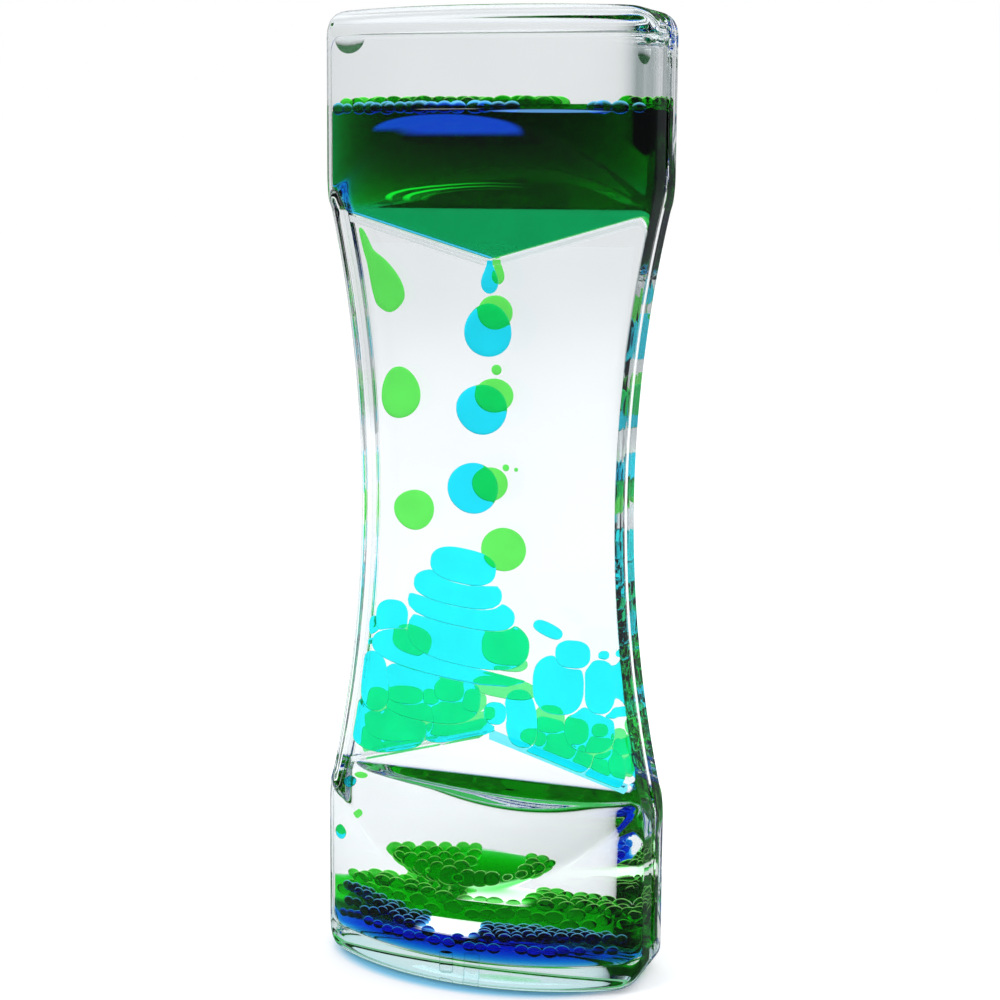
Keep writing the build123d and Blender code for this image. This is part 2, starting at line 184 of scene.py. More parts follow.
class TimerStage(bpy.types.PropertyGroup):
    """Camera and light of the studio."""

    azimuth: FloatProperty(name="Azimuth", description="How far the camera stands to the right of the front",
                           default=math.radians(20.5), subtype="ANGLE")
    distance: FloatProperty(name="Distance", description="Camera to the timer's axis, on the floor",
                            default=0.2866, unit="LENGTH")
    camera_height: FloatProperty(name="Camera height", description="Camera over the floor",
                                 default=0.1125, unit="LENGTH")
    aim_height: FloatProperty(name="Aim height", description="Height of the point that the camera looks at",
                              default=0.0710, unit="LENGTH", precision=4)
    roll: FloatProperty(name="Roll", description="Turn of the camera about its view",
                        default=math.radians(0.44), subtype="ANGLE")
    shift: FloatVectorProperty(name="Shift", description="Sideways and upward shift of the frame", size=2,
                               default=(0.003, -0.026))
    lens: FloatProperty(name="Lens", description="Focal length", default=73.7, unit="CAMERA")
    floor_size: FloatProperty(name="Floor size", description="Width of the floor", default=6.0, unit="LENGTH")
    floor_gap: FloatProperty(name="Floor gap", description="Air between the floor and the timer's base",
                             default=0.0003, unit="LENGTH", precision=5)
    floor_colour: FloatVectorProperty(name="Floor", description="Colour of the floor",
                                      default=(0.93, 0.94, 0.95), subtype="COLOR", min=0, max=1)
    glow_colour: FloatVectorProperty(name="Glow", description="Floor where light comes through the blue pool",
                                     default=(0.22, 0.58, 0.80), subtype="COLOR", min=0, max=1)
    rear_glow: FloatVectorProperty(name="Rear glow", description="Floor where light comes through the green pool",
                                   default=(0.10, 0.68, 0.16), subtype="COLOR", min=0, max=1)
    glow_reach: FloatProperty(name="Glow reach", description="How far the glow reaches to the sides",
                              default=0.0247, unit="LENGTH", precision=4)
    glow_fade: FloatProperty(name="Glow fade", description="Width over which the glow fades out",
                             default=0.0036, unit="LENGTH", precision=4)
    glow_squeeze: FloatProperty(name="Glow squeeze", description="How much narrower the glow is in depth",
                                default=1.59)
    under_light: FloatProperty(name="Light under the base", description="Glow of the floor seen through the base",
                               default=0.45)
    glow_offset: FloatProperty(name="Glow offset", description="Sideways place of the middle of the glow",
                               default=-0.0012, unit="LENGTH", precision=4)


# Falling drops: how much narrower the top is, tilt to the left in degrees
FALLING = {
    "blue_drop_1": (0.10, -6), "blue_drop_2": (-0.06, 12), "blue_drop_3": (-0.03, 30),
    "green_drop_1": (0.0, -25), "green_drop_2": (0.0, -20), "green_drop_3": (-0.05, 10), "green_drop_4": (0.0, 0),
    "green_side_drop_1": (0.16, 16), "green_side_drop_2": (-0.10, 14),
}
# Beads that follow a green drop, in mm from the middle of the drop: sideways place, height, radius
FOLLOWING = {"green_drop_2": ((0.2, 3.6, 0.75),), "green_drop_3": ((2.2, 2.4, 0.5), (3.7, 2.2, 0.3))}
# Outline of the green thread at the left, in mm from the middle of its bulb
THREAD = ((-4.25, 10.8), (-3.0, 8.0), (-2.3, 7.0), (-0.7, 5.5), (1.0, 3.1), (1.9, 0.6), (1.65, -1.4), (0.1, -3.0),
          (-1.6, -2.0), (-2.3, 0.0), (-2.8, 2.8), (-3.2, 5.4), (-3.75, 7.7))
# Settled drops in mm: sideways place, height over the lower orifice, half width, half height, tilt in degrees.
# A drop gives way to those before it in its chamber.
SETTLED = {
    "blue_settled_stack": ((-3.7, 24.3, 4.9, 2.5, -8), (-4.5, 20.9, 6.65, 2.4, -7), (-4.0, 18.1, 8.1, 2.5, -7),
                           (-2.9, 13.9, 9.2, 4.0, -6), (-5.7, 10.9, 12.0, 3.0, -7)),
    "blue_settled_left": ((-14.6, 15.9, 2.4, 2.7, 0), (-17.5, 6.4, 2.2, 4.4, 5), (-9.0, 5.4, 8.0, 4.2, -4),
                          (1.3, 3.4, 1.6, 1.6, 0), (-15.4, 0.2, 6.0, 4.4, 0), (-5.2, 1.6, 6.4, 3.6, 0),
                          (-17.2, 14.6, 0.9, 1.5, 0), (-17.4, 12.2, 0.8, 0.8, 0)),
    "blue_settled_right": ((9.1, 16.2, 2.2, 0.9, -22), (12.8, 13.0, 2.5, 1.95, 0), (10.7, 8.4, 3.7, 4.2, 0),
                           (16.8, 8.7, 2.25, 3.8, 0), (17.3, 13.2, 0.7, 0.65, 0), (18.6, 5.3, 1.3, 0.85, 0),
                           (5.2, 3.0, 2.3, 4.2, 6), (15.4, 2.4, 3.6, 3.2, 0), (10.0, -0.4, 6.0, 3.8, -10),
                           (15.4, -2.6, 5.4, 3.6, -14), (18.8, -1.6, 1.8, 3.4, 0)),
    "green_settled_middle": ((-12.8, 12.2, 2.95, 2.1, -15), (1.4, 12.4, 3.3, 2.6, 0), (2.3, 10.0, 2.6, 1.1, 0),
                             (1.5, 6.4, 4.8, 1.5, -4)),
    "green_settled_left": ((-18.4, 2.6, 1.5, 2.0, 0), (-13.8, 3.9, 2.7, 1.3, 0), (-7.0, 5.2, 2.2, 1.6, 0),
                           (-9.9, 4.0, 1.3, 1.1, 0), (-3.1, 4.1, 1.8, 1.6, 0), (-14.9, 0.3, 5.4, 3.4, 8),
                           (-6.6, 1.2, 5.4, 2.7, 8), (-0.7, 2.4, 0.7, 0.8, 0), (-11.4, -2.0, 6.4, 3.4, 0),
                           (-18.6, -3.0, 2.2, 3.0, 0)),
    "green_settled_right": ((8.4, 2.5, 2.2, 2.0, 0), (12.4, 1.1, 1.8, 1.8, 0), (15.9, 1.6, 1.1, 0.9, 0),
                            (6.0, -0.5, 1.9, 1.3, 0), (15.8, -0.8, 1.9, 1.7, 0), (9.3, -0.8, 3.2, 2.7, 0),
                            (18.9, -1.4, 1.7, 3.6, 0), (13.4, -2.6, 6.2, 3.6, -14)),
}
# Bead layers on the pools, in mm: spacing, largest radius, lift, shares of the depth from the divider to the front
# wall that they cover, the stretch of smooth surface between them, how far below the surface they hang on the front
# wall and on the divider, and mounds under them with sideways place, distance from the divider, half width, half
# depth and height
BEADS = {
    "blue_upper": (1.7, 1.3, 0.3, (0.6, 1.0), (5.5, 15.0), (0, 0), ()),
    "green_upper": (1.7, 1.4, 0.3, (0.0, 1.0), (6.5, 15.5), (0, 0), ()),
    "blue_lower": (1.5, 1.15, 0.0, (0.0, 1.0), (-7.0, 1.0), (1.4, 0), ((-21, 4, 9, 8, 3.4), (13, 8, 9, 6, 0.7))),
    "green_lower": (1.75, 1.35, -0.1, (0.0, 1.0), (-3.5, 4.5), (0, 2.6),
                    ((-17, 5, 7, 6, 0.6), (-6, 10, 7, 3, 0.6), (2, 8, 16, 6, 0.4))),
}
# Air under the ceiling, in mm: chamber, sideways place, distance from the divider, half width, height
AIR = (("front", -19.2, 2.6, 2.6, 2.3), ("rear", 20.3, 2.6, 1.8, 1.6))


# Rules that give the vessel its shape

def smooth_min(a, b, softness):
    """The lesser of two values, rounded off where they meet."""
    share = np.clip(0.5 + 0.5 * (b - a) / softness, 0, 1)
    return b + (a - b) * share - softness * share * (1 - share)


def smooth_max(a, b, softness):
    """The greater of two values, rounded off where they meet."""
    return -smooth_min(-a, -b, softness)


def half_width(vessel, z, side_wall, end_wall, corner):
    """Half the front view's width at heights z, inside a wall at the sides and ends."""
    from_middle = np.abs(z - vessel.height / 2)
    waist_in = (vessel.end_width - vessel.waist_width) / 2
    half_chord = vessel.height / 2 - vessel.shoulder_height
    radius = (half_chord ** 2 + waist_in ** 2) / (2 * waist_in)
    waist = vessel.waist_width / 2 + radius - np.sqrt(radius ** 2 - from_middle ** 2) - side_wall
    past = np.clip(from_middle - (vessel.height / 2 - end_wall - corner), 0, corner)
    block = vessel.end_width / 2 - side_wall - corner + np.sqrt(corner ** 2 - past ** 2)
    shoulder_softness = 0.5 * MM
    return smooth_min(waist, block, shoulder_softness)


def front_depth(vessel, x, z, front_wall, window_wall):
    """How far the front stands before the middle of the vessel, inside the walls given."""
    run = (vessel.block_depth - vessel.edge_depth) / 2
    bow_radius = ((vessel.end_width / 2) ** 2 + run ** 2) / (2 * run)
    bow = np.sqrt((bow_radius - front_wall) ** 2 - x ** 2) - (bow_radius - vessel.block_depth / 2)
    slope = run / (vessel.ledge_height - vessel.rim_height)
    below_ledge = vessel.ledge_height - np.minimum(z, vessel.height - z)
    window = vessel.edge_depth / 2 - window_wall
    ledge = vessel.edge_depth / 2 + below_ledge * slope - window_wall * math.hypot(1, slope)
    scoop = smooth_max(window, ledge, vessel.rim_softness)
    return smooth_min(bow, scoop, vessel.rim_softness)


def rounded_span(shares, steps):
    """Shares, sideways turns and drops of points across a span whose two ends are quarter rounds."""
    turn = np.linspace(0, math.pi / 2, steps + 1)[1:]
    share = np.concatenate([-np.ones(steps), shares, np.ones(steps)])
    aside = np.concatenate([-np.sin(turn[::-1]), np.zeros(len(shares)), np.sin(turn)])
    drop = np.concatenate([1 - np.cos(turn[::-1]), np.zeros(len(shares)), 1 - np.cos(turn)])
    return share, aside, drop


def vessel_rows(vessel, block_rows, waist_rows):
    """Shares of the height, close together where the end blocks curve."""
    past_ledge = 4 * MM
    turn = 1 - 2 * (vessel.ledge_height + past_ledge) / vessel.height
    end = np.linspace(turn, 1, block_rows + 1)[1:]
    return np.concatenate([-end[::-1], np.linspace(-turn, turn, waist_rows), end])


def vessel_skin(vessel, walls, radii):
    """Grid of points on the outside or inside of the front shell, rows upwards and columns to the right."""
    side_wall, end_wall, corner, front_wall, window_wall = walls
    edge_radius, end_radius = radii
    block_rows, waist_rows, columns, round_steps = 110, 60, 101, 8
    row_share, row_aside, row_drop = rounded_span(vessel_rows(vessel, block_rows, waist_rows), round_steps)
    col_share, col_aside, col_drop = rounded_span(np.linspace(-1, 1, columns), round_steps)
    half_high = vessel.height / 2 - end_wall - end_radius
    z = vessel.height / 2 + row_share * half_high + row_aside * end_radius
    wide = half_width(vessel, z, side_wall, end_wall, corner) - edge_radius
    x = wide[:, None] * col_share + edge_radius * col_aside
    z = np.repeat(z[:, None], x.shape[1], 1)
    depth = front_depth(vessel, x, z, front_wall, window_wall)
    depth = depth - end_radius * row_drop[:, None] - edge_radius * col_drop
    return np.stack([x, -depth, z], -1)


# Closed skins

def rim_of(grid):
    """The outer points of a grid in turn, anticlockwise seen from the front."""
    return np.concatenate([grid[0, :-1], grid[:-1, -1], grid[-1, :0:-1], grid[:0:-1, 0]])


def closed_sheet(front, loops, back):
    """Points and groups of faces of a closed skin: a front grid, loops round its edge and a back grid."""
    rows, cols = front.shape[:2]
    index = np.arange(rows * cols).reshape(rows, cols)
    edge = rim_of(index)
    last = rows * cols + len(edge) * len(loops)
    points = np.concatenate([front.reshape(-1, 3), *loops, back.reshape(-1, 3)])
    face = np.stack([index[:-1, :-1], index[:-1, 1:], index[1:, 1:], index[1:, :-1]], -1).reshape(-1, 4)
    rings = [edge, *(rows * cols + len(edge) * k + np.arange(len(edge)) for k in range(len(loops))), last + edge]
    strips = [np.stack([a, b, np.roll(b, -1), np.roll(a, -1)], -1) for a, b in zip(rings, rings[1:])]
    return points, [face, *strips, face[:, ::-1] + last]


def closed_rings(rings, first, last):
    """Points and faces of a closed skin: rings from a first to a last middle point."""
    count = rings.shape[1]
    index = np.arange(rings.shape[0] * count).reshape(-1, count)
    points = np.concatenate([rings.reshape(-1, 3), [first], [last]])
    strips = [np.stack([a, b, np.roll(b, -1), np.roll(a, -1)], -1) for a, b in zip(index, index[1:])]
    start, end = len(points) - 2, len(points) - 1
    caps = [(start, int(a), int(b)) for a, b in zip(index[0], np.roll(index[0], -1))]
    caps += [(end, int(b), int(a)) for a, b in zip(index[-1], np.roll(index[-1], -1))]
    return points, strips, caps


def full_turn(count):
    """Angles once round."""
    return np.linspace(0, 2 * math.pi, count, endpoint=False)


def turned_form(x, y, levels, top, bottom, flat=1.0):
    """Rings and ends of a form turned about an upright line: heights and radii from the top down.

    Flat is its depth as a share of its width.
    """
    turn = full_turn(TURN_STEPS)
    rings = [np.column_stack([x + radius * np.cos(turn), y + flat * radius * np.sin(turn), np.full(TURN_STEPS, z)])
             for z, radius in levels]
    return np.array(rings), (x, y, top), (x, y, bottom)


def piece(name, points, groups, materials, to_rear=False, caps=()):
    """New smooth mesh object, turned to the rear chamber if asked, with a material for each group of faces."""
    points = np.array(points, float)
    faces = [list(map(int, f)) for group in groups for f in group] + [list(f) for f in caps]
    used = [m for m, group in zip(materials, groups) for _ in group] + [materials[0]] * len(caps)
    if to_rear:
        points[:, 1] *= -1
        faces = [f[::-1] for f in faces]
    mesh = bpy.data.meshes.new(name)
    mesh.from_pydata(points.tolist(), [], faces)
    kinds = list(dict.fromkeys(used))
    for material in kinds:
        mesh.materials.append(material)
    mesh.polygons.foreach_set("material_index", [kinds.index(m) for m in used])
    mesh.polygons.foreach_set("use_smooth", [True] * len(faces))
    mesh.update()
    mesh.set_sharp_from_angle(angle=SHARP_ANGLE)
    obj = bpy.data.objects.new(name, mesh)
    bpy.context.scene.collection.objects.link(obj)
    return obj


def settle(obj, body, slot, *nodes):
    """Puts a finished piece on its body and hides the solids that it stands for. The slot is not used."""
    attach(obj, body)
    if nodes:
        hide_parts(*nodes)
    return obj


# Node trees

def add_node(tree, kind, inputs=None, **settings):
    """New node of a kind with its settings; an input takes a value or the output of another node."""
    made = tree.nodes.new(kind)
    for name, value in settings.items():
        setattr(made, name, value)
    for key, value in (inputs or {}).items():
        if isinstance(value, bpy.types.NodeSocket):
            tree.links.new(value, made.inputs[key])
        else:
            made.inputs[key].default_value = value
    return made


def maths(tree, operation, first, second=0.0, third=0.0):
    """Output of a sum on values or sockets."""
    return add_node(tree, "ShaderNodeMath", {0: first, 1: second, 2: third}, operation=operation).outputs[0]


def product(tree, *factors):
    """Output of several values or sockets multiplied in turn."""
    result = factors[0]
    for factor in factors[1:]:
        result = maths(tree, "MULTIPLY", result, factor)
    return result


def vector_maths(tree, operation, *vectors):
    """Outputs of a sum on vectors or sockets."""
    return add_node(tree, "ShaderNodeVectorMath", dict(enumerate(vectors)), operation=operation).outputs


def eased(tree, value, first, full, kind="SMOOTHSTEP"):
    """Value that runs from nothing at first to one at full."""
    limits = {"Value": value, "From Min": first, "From Max": full}
    return add_node(tree, "ShaderNodeMapRange", limits, interpolation_type=kind).outputs["Result"]


def mixed(tree, share, first, second):
    """Output of a mix of two colours or sockets."""
    return add_node(tree, "ShaderNodeMix", {0: share, 6: first, 7: second}, data_type="RGBA").outputs[2]


def parts_of(tree, vector):
    """Outputs with the X, Y and Z of a vector."""
    return add_node(tree, "ShaderNodeSeparateXYZ", {0: vector}).outputs


def coordinates(tree):
    """Outputs with the places and normals of a surface."""
    return tree.nodes.new("ShaderNodeTexCoord").outputs


def facing_away(tree):
    """Output that grows from nothing to one as a surface turns away from the eye."""
    return add_node(tree, "ShaderNodeLayerWeight", {"Blend": 0.5}).outputs["Facing"]


def backfacing(tree):
    """Output that is one where light meets a surface from its inside."""
    return tree.nodes.new("ShaderNodeNewGeometry").outputs["Backfacing"]


def mirror_only(tree, path):
    """Output that is one for light mirrored by the outside of the vessel and nothing for all other light."""
    return product(tree, path["Is Glossy Ray"], maths(tree, "LESS_THAN", path["Transmission Depth"], 0.5))


# Materials

def node_material(name):
    """Empty node material and its principled shader."""
    material = bpy.data.materials.new(name)
    material.use_nodes = True
    tree = material.node_tree
    tree.nodes.clear()
    shader = tree.nodes.new("ShaderNodeBsdfPrincipled")
    add_node(tree, "ShaderNodeOutputMaterial", {"Surface": shader.outputs[0]})
    return material, shader


def node_of(material, kind):
    """The one node of a kind in a material."""
    return next(n for n in material.node_tree.nodes if n.type == kind)


def cloud_group():
    """Shared effect: a tint that drifts softly between two shades over a surface."""
    name = "Drifting tint"
    if name in bpy.data.node_groups:
        return bpy.data.node_groups[name]
    group = bpy.data.node_groups.new(name, "ShaderNodeTree")
    for socket, kind in (("Light shade", "NodeSocketColor"), ("Deep shade", "NodeSocketColor"),
                         ("Cloud size", "NodeSocketFloat")):
        group.interface.new_socket(socket, in_out="INPUT", socket_type=kind)
    group.interface.new_socket("Colour", in_out="OUTPUT", socket_type="NodeSocketColor")
    given = group.nodes.new("NodeGroupInput").outputs
    scale = maths(group, "DIVIDE", 1.0, given["Cloud size"])
    noise = add_node(group, "ShaderNodeTexNoise",
                     {"Vector": coordinates(group)["Object"], "Scale": scale, "Detail": 2}).outputs["Fac"]
    share = eased(group, noise, 0.35, 0.65, "LINEAR")
    add_node(group, "NodeGroupOutput", {"Colour": mixed(group, share, given["Light shade"], given["Deep shade"])})
    return group


def drifting_tint(tree, tint, deep, cloud):
    """Output of the shared tint: its deep shade as a share of the light one, and the size of its clouds."""
    shades = {"Light shade": (*tint, 1), "Deep shade": (*(c * deep for c in tint), 1), "Cloud size": cloud}
    return add_node(tree, "ShaderNodeGroup", shades, node_tree=cloud_group()).outputs["Colour"]


def let_through(shader, bend):
    """Turns a shader into a clear, polished one."""
    shader.inputs["Roughness"].default_value = 0
    shader.inputs["IOR"].default_value = bend
    shader.inputs["Transmission Weight"].default_value = 1


def clear_material(name, tint, bend, deep, cloud):
    """Clear material whose tint drifts a little."""
    if name in bpy.data.materials:
        return bpy.data.materials[name]
    material, shader = node_material(name)
    tree = material.node_tree
    tree.links.new(drifting_tint(tree, tint, deep, cloud), shader.inputs["Base Color"])
    let_through(shader, bend)
    return material


def paint_light_in(material, share, colour):
    """Paints light and shade into a material: draws its tint towards another colour by a share that changes over
    the surface.
    """
    tree = material.node_tree
    base = node_of(material, "BSDF_PRINCIPLED").inputs["Base Color"]
    tree.links.new(mixed(tree, share, base.links[0].from_socket, (*colour, 1)), base)


def outer_plastic(vessel):
    """Polished outside of the clear plastic, with a blue cast where the lower pools shine into the base."""
    name = "clear plastic outside"
    if name in bpy.data.materials:
        return bpy.data.materials[name]
    material = clear_material(name, vessel.clear_tint, OUTSIDE_BEND, deep=0.985, cloud=0.02)
    tree = material.node_tree
    height = parts_of(tree, coordinates(tree)["Object"])["Z"]
    # Painted light: near the bottom the plastic turns towards the base light colour, where the lower pools shine
    # into the base
    blue_light_from, blue_light_full = 1.6 * vessel.end_wall, 0.5 * vessel.end_wall
    paint_light_in(material, eased(tree, height, blue_light_from, blue_light_full), vessel.base_pool_light)
    return material


def wetted_plastic(vessel):
    """Clear plastic where oil or glue touches it, which bends light little."""
    return clear_material("clear plastic in oil", vessel.clear_tint, OIL_BEND, deep=0.985, cloud=0.02)


def plug_plastic():
    """Clear plug whose outline shows in the base as a painted dark rim."""
    name = "clear plug"
    if name in bpy.data.materials:
        return bpy.data.materials[name]
    material = clear_material(name, CLEAR_TINT, PLUG_BEND, deep=0.97, cloud=0.008)
    tree = material.node_tree
    # Painted shade: the plug turns dark blue grey where its side turns away from the eye
    rim_from, rim_full, rim_shade_colour = 0.45, 0.85, (0.20, 0.42, 0.48)
    paint_light_in(material, eased(tree, facing_away(tree), rim_from, rim_full), rim_shade_colour)
    return material


def add_gleam(material, colour, first, full, stretch=()):
    """Light that the upper side of a liquid in oil throws back between two low angles, as shares of facing away.

    A stretch keeps it between two sideways places in mm.
    """
    tree = material.node_tree
    shader = node_of(material, "BSDF_PRINCIPLED")
    place = coordinates(tree)
    upward = eased(tree, parts_of(tree, place["Normal"])["Z"], 0.3, 0.8, "LINEAR")
    outside = maths(tree, "SUBTRACT", 1.0, backfacing(tree))
    gleam = product(tree, eased(tree, facing_away(tree), first, full), upward, outside)
    for edge, way in zip(stretch, (1, -1)):
        across = parts_of(tree, place["Object"])["X"]
        gleam = product(tree, gleam, eased(tree, across, (edge - way) * MM, (edge + way) * MM))
    tree.links.new(gleam, shader.inputs["Emission Strength"])
    shader.inputs["Emission Color"].default_value = (*colour, 1)
    return material


def oval_reach(tree, place, middle, half):
    """How far a place on the front lies out in an oval, as a share of its reach, and its place in halves."""
    away = vector_maths(tree, "SUBTRACT", place, (middle[0], 0, middle[1]))[0]
    any_depth = 1000
    share = vector_maths(tree, "DIVIDE", away, (half[0], any_depth, half[1]))[0]
    return vector_maths(tree, "LENGTH", share)["Value"], parts_of(tree, share)


def add_light(material, mask, colour):
    """Lets a material shine in a colour wherever a mask is more than nothing."""
    tree = material.node_tree
    shader = node_of(material, "BSDF_PRINCIPLED")
    shine, strength = shader.inputs["Emission Color"], shader.inputs["Emission Strength"]
    before = shine.links[0].from_socket if shine.links else shine.default_value
    nothing = 0.001
    inside = maths(tree, "GREATER_THAN", mask, nothing)
    most = maths(tree, "MAXIMUM", strength.links[0].from_socket, mask)
    tree.links.new(mixed(tree, inside, before, (*colour, 1)), shine)
    tree.links.new(most, strength)


def add_lens(material, liquid):
    """Light that the curved front gathers in a pool: oval under its surface, arcs over the ledge, pale edge."""
    tree = material.node_tree
    place = coordinates(tree)
    facing = parts_of(tree, place["Normal"])["Y"]
    behind = backfacing(tree)
    front = maths(tree, "GREATER_THAN", maths(tree, "LESS_THAN", facing, -0.5), behind)

    reach, part = oval_reach(tree, place["Object"], liquid.lens_place, liquid.lens_half)
    oval = product(tree, eased(tree, reach, 1.0, 0.9), eased(tree, part["Z"], -0.1, 0.3))
    add_light(material, product(tree, oval, front), liquid.lens_colour)

    reach, part = oval_reach(tree, place["Object"], liquid.arc_place, liquid.arc_half)
    arc_spacing, arc_waver = 0.15, 0.08
    noise = add_node(tree, "ShaderNodeTexNoise", {"Vector": place["Object"], "Scale": 260, "Detail": 1})
    uneven = maths(tree, "ADD", reach, product(tree, noise.outputs["Fac"], arc_waver))
    wave = maths(tree, "SINE", product(tree, uneven, 2 * math.pi / arc_spacing))
    band = product(tree, eased(tree, reach, 0.55, 0.75), eased(tree, reach, 1.0, 0.97))
    fade = product(tree, eased(tree, part["X"], 0.3, -0.7), eased(tree, part["Z"], -0.1, 0.15))
    add_light(material, product(tree, eased(tree, wave, -0.1, 0.9), band, fade, front), liquid.arc_colour)

    # Painted highlight: the pale line at the edge of the blue surface
    across, deep = liquid.highlight_line_place
    middle = (across, pool_top(liquid, "blue_upper") - deep)
    reach, _ = oval_reach(tree, place["Object"], middle, liquid.highlight_line_half)
    line = product(tree, eased(tree, reach, 1.0, 0.6), eased(tree, facing, 0.0, -0.3))
    add_light(material, product(tree, line, maths(tree, "SUBTRACT", 1.0, behind)), liquid.highlight_line_colour)


def pool_material(liquid, pool):
    """Liquid that takes more light the deeper it is, and whose surface throws light back at a low angle."""
    name = f"{pool.replace('_', ' ')} pool"
    if name in bpy.data.materials:
        return bpy.data.materials[name]
    material = clear_material(name, (0.97, 0.98, 0.98), POOL_BEND, deep=0.96, cloud=0.006)
    tree = material.node_tree
    most = max(TAKEN[pool])
    kept = (*(1 - taken / most for taken in TAKEN[pool]), 1)
    volume = add_node(tree, "ShaderNodeVolumeAbsorption", {"Density": most, "Color": kept})
    tree.links.new(volume.outputs[0], node_of(material, "OUTPUT_MATERIAL").inputs["Volume"])
    *_, smooth, _, _ = BEADS[f"{colour_of(pool)}_lower"]
    add_gleam(material, (0.92, 0.94, 0.95), first=0.64, full=0.72, stretch=smooth)
    if pool == "blue_upper":
        add_lens(material, liquid)
    return material


def drop_material(liquid, colour, state="falling"):
    """Flat drops of one colour, a little paler where they have settled."""
    tint = getattr(liquid, colour if state == "falling" else f"{colour}_settled")
    return clear_material(f"{colour} {state} drops", tint, DROP_BEND, deep=0.93, cloud=0.005)


def bead_material(pool):
    """Beads that float on a pool, with a gleam on their upper rims."""
    name = f"{pool.replace('_', ' ')} beads"
    if name in bpy.data.materials:
        return bpy.data.materials[name]
    tint, gleam = {"blue": ((0.015, 0.26, 0.80), (0.14, 0.58, 0.92)),
                   "green": ((0.06, 0.70, 0.05), (0.22, 0.72, 0.12))}[colour_of(pool)]
    first, full = (0.05, 0.75) if pool == "blue_upper" else (0.5, 0.95)
    return add_gleam(clear_material(name, tint, BEAD_BEND, deep=0.8, cloud=0.003), gleam, first, full)


def air_material():
    """Air in oil, whose underside mirrors the dark liquid below it."""
    material, shader = node_material("air in oil")
    tree = material.node_tree
    clear, dark = (0.96, 0.98, 0.98, 1), (0.008, 0.05, 0.012, 1)
    under = eased(tree, parts_of(tree, coordinates(tree)["Normal"])["Z"], -0.1, -0.45)
    tint = mixed(tree, under, clear, dark)
    tree.links.new(tint, shader.inputs["Base Color"])
    let_through(shader, AIR_BEND)
    return material


# Places in the frame

def colour_of(node):
    """Colour that the name of a liquid starts with."""
    return node.split("_")[0]


def box_of(node):
    """Low corner, high corner and middle of a solid."""
    low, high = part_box(node)
    return low, high, (low + high) / 2


def pool_top(liquid, pool):
    """Height of a pool's surface."""
    dip = liquid.surface_dip if pool == "blue_upper" else 0
    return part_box(f"{pool}_pool")[1].z - dip


class TIMER_OT_shells(bpy.types.Operator):
    """Build the two clear shells"""

    bl_idname = "timer.shells"
    bl_label = "Shells"

    def execute(self, context):
        vessel = context.scene.timer_vessel
        seam = -vessel.divider / 2 - vessel.seam_gap
        inner_round, seam_round, seam_share = 0.6 * MM, 0.15 * MM, 0.994
        outside = vessel_skin(vessel, (0, 0, vessel.corner_radius, 0, 0), (vessel.edge_radius, vessel.end_radius))
        walls = (vessel.side_wall, vessel.end_wall, vessel.inner_corner, vessel.front_wall, vessel.window_wall)
        inside = vessel_skin(vessel, walls, (inner_round, inner_round))
        edge, turned, face = rim_of(outside), rim_of(outside) * (seam_share, 1, 1), rim_of(inside)
        for loop, place in ((edge, seam - seam_round), (turned, seam), (face, seam)):
            loop[:, 1] = place
        points, groups = closed_sheet(outside, [edge, turned, face], inside)
        kinds = [outer_plastic(vessel)] * 3 + [wetted_plastic(vessel)] * 3
        for side, _ in SIDES:
            shell = piece(f"clear_{side}_shell", points, groups, kinds, to_rear=side == "rear")
            settle(shell, "vessel", "clear_plastic", f"{side}_shell")
        return {"FINISHED"}


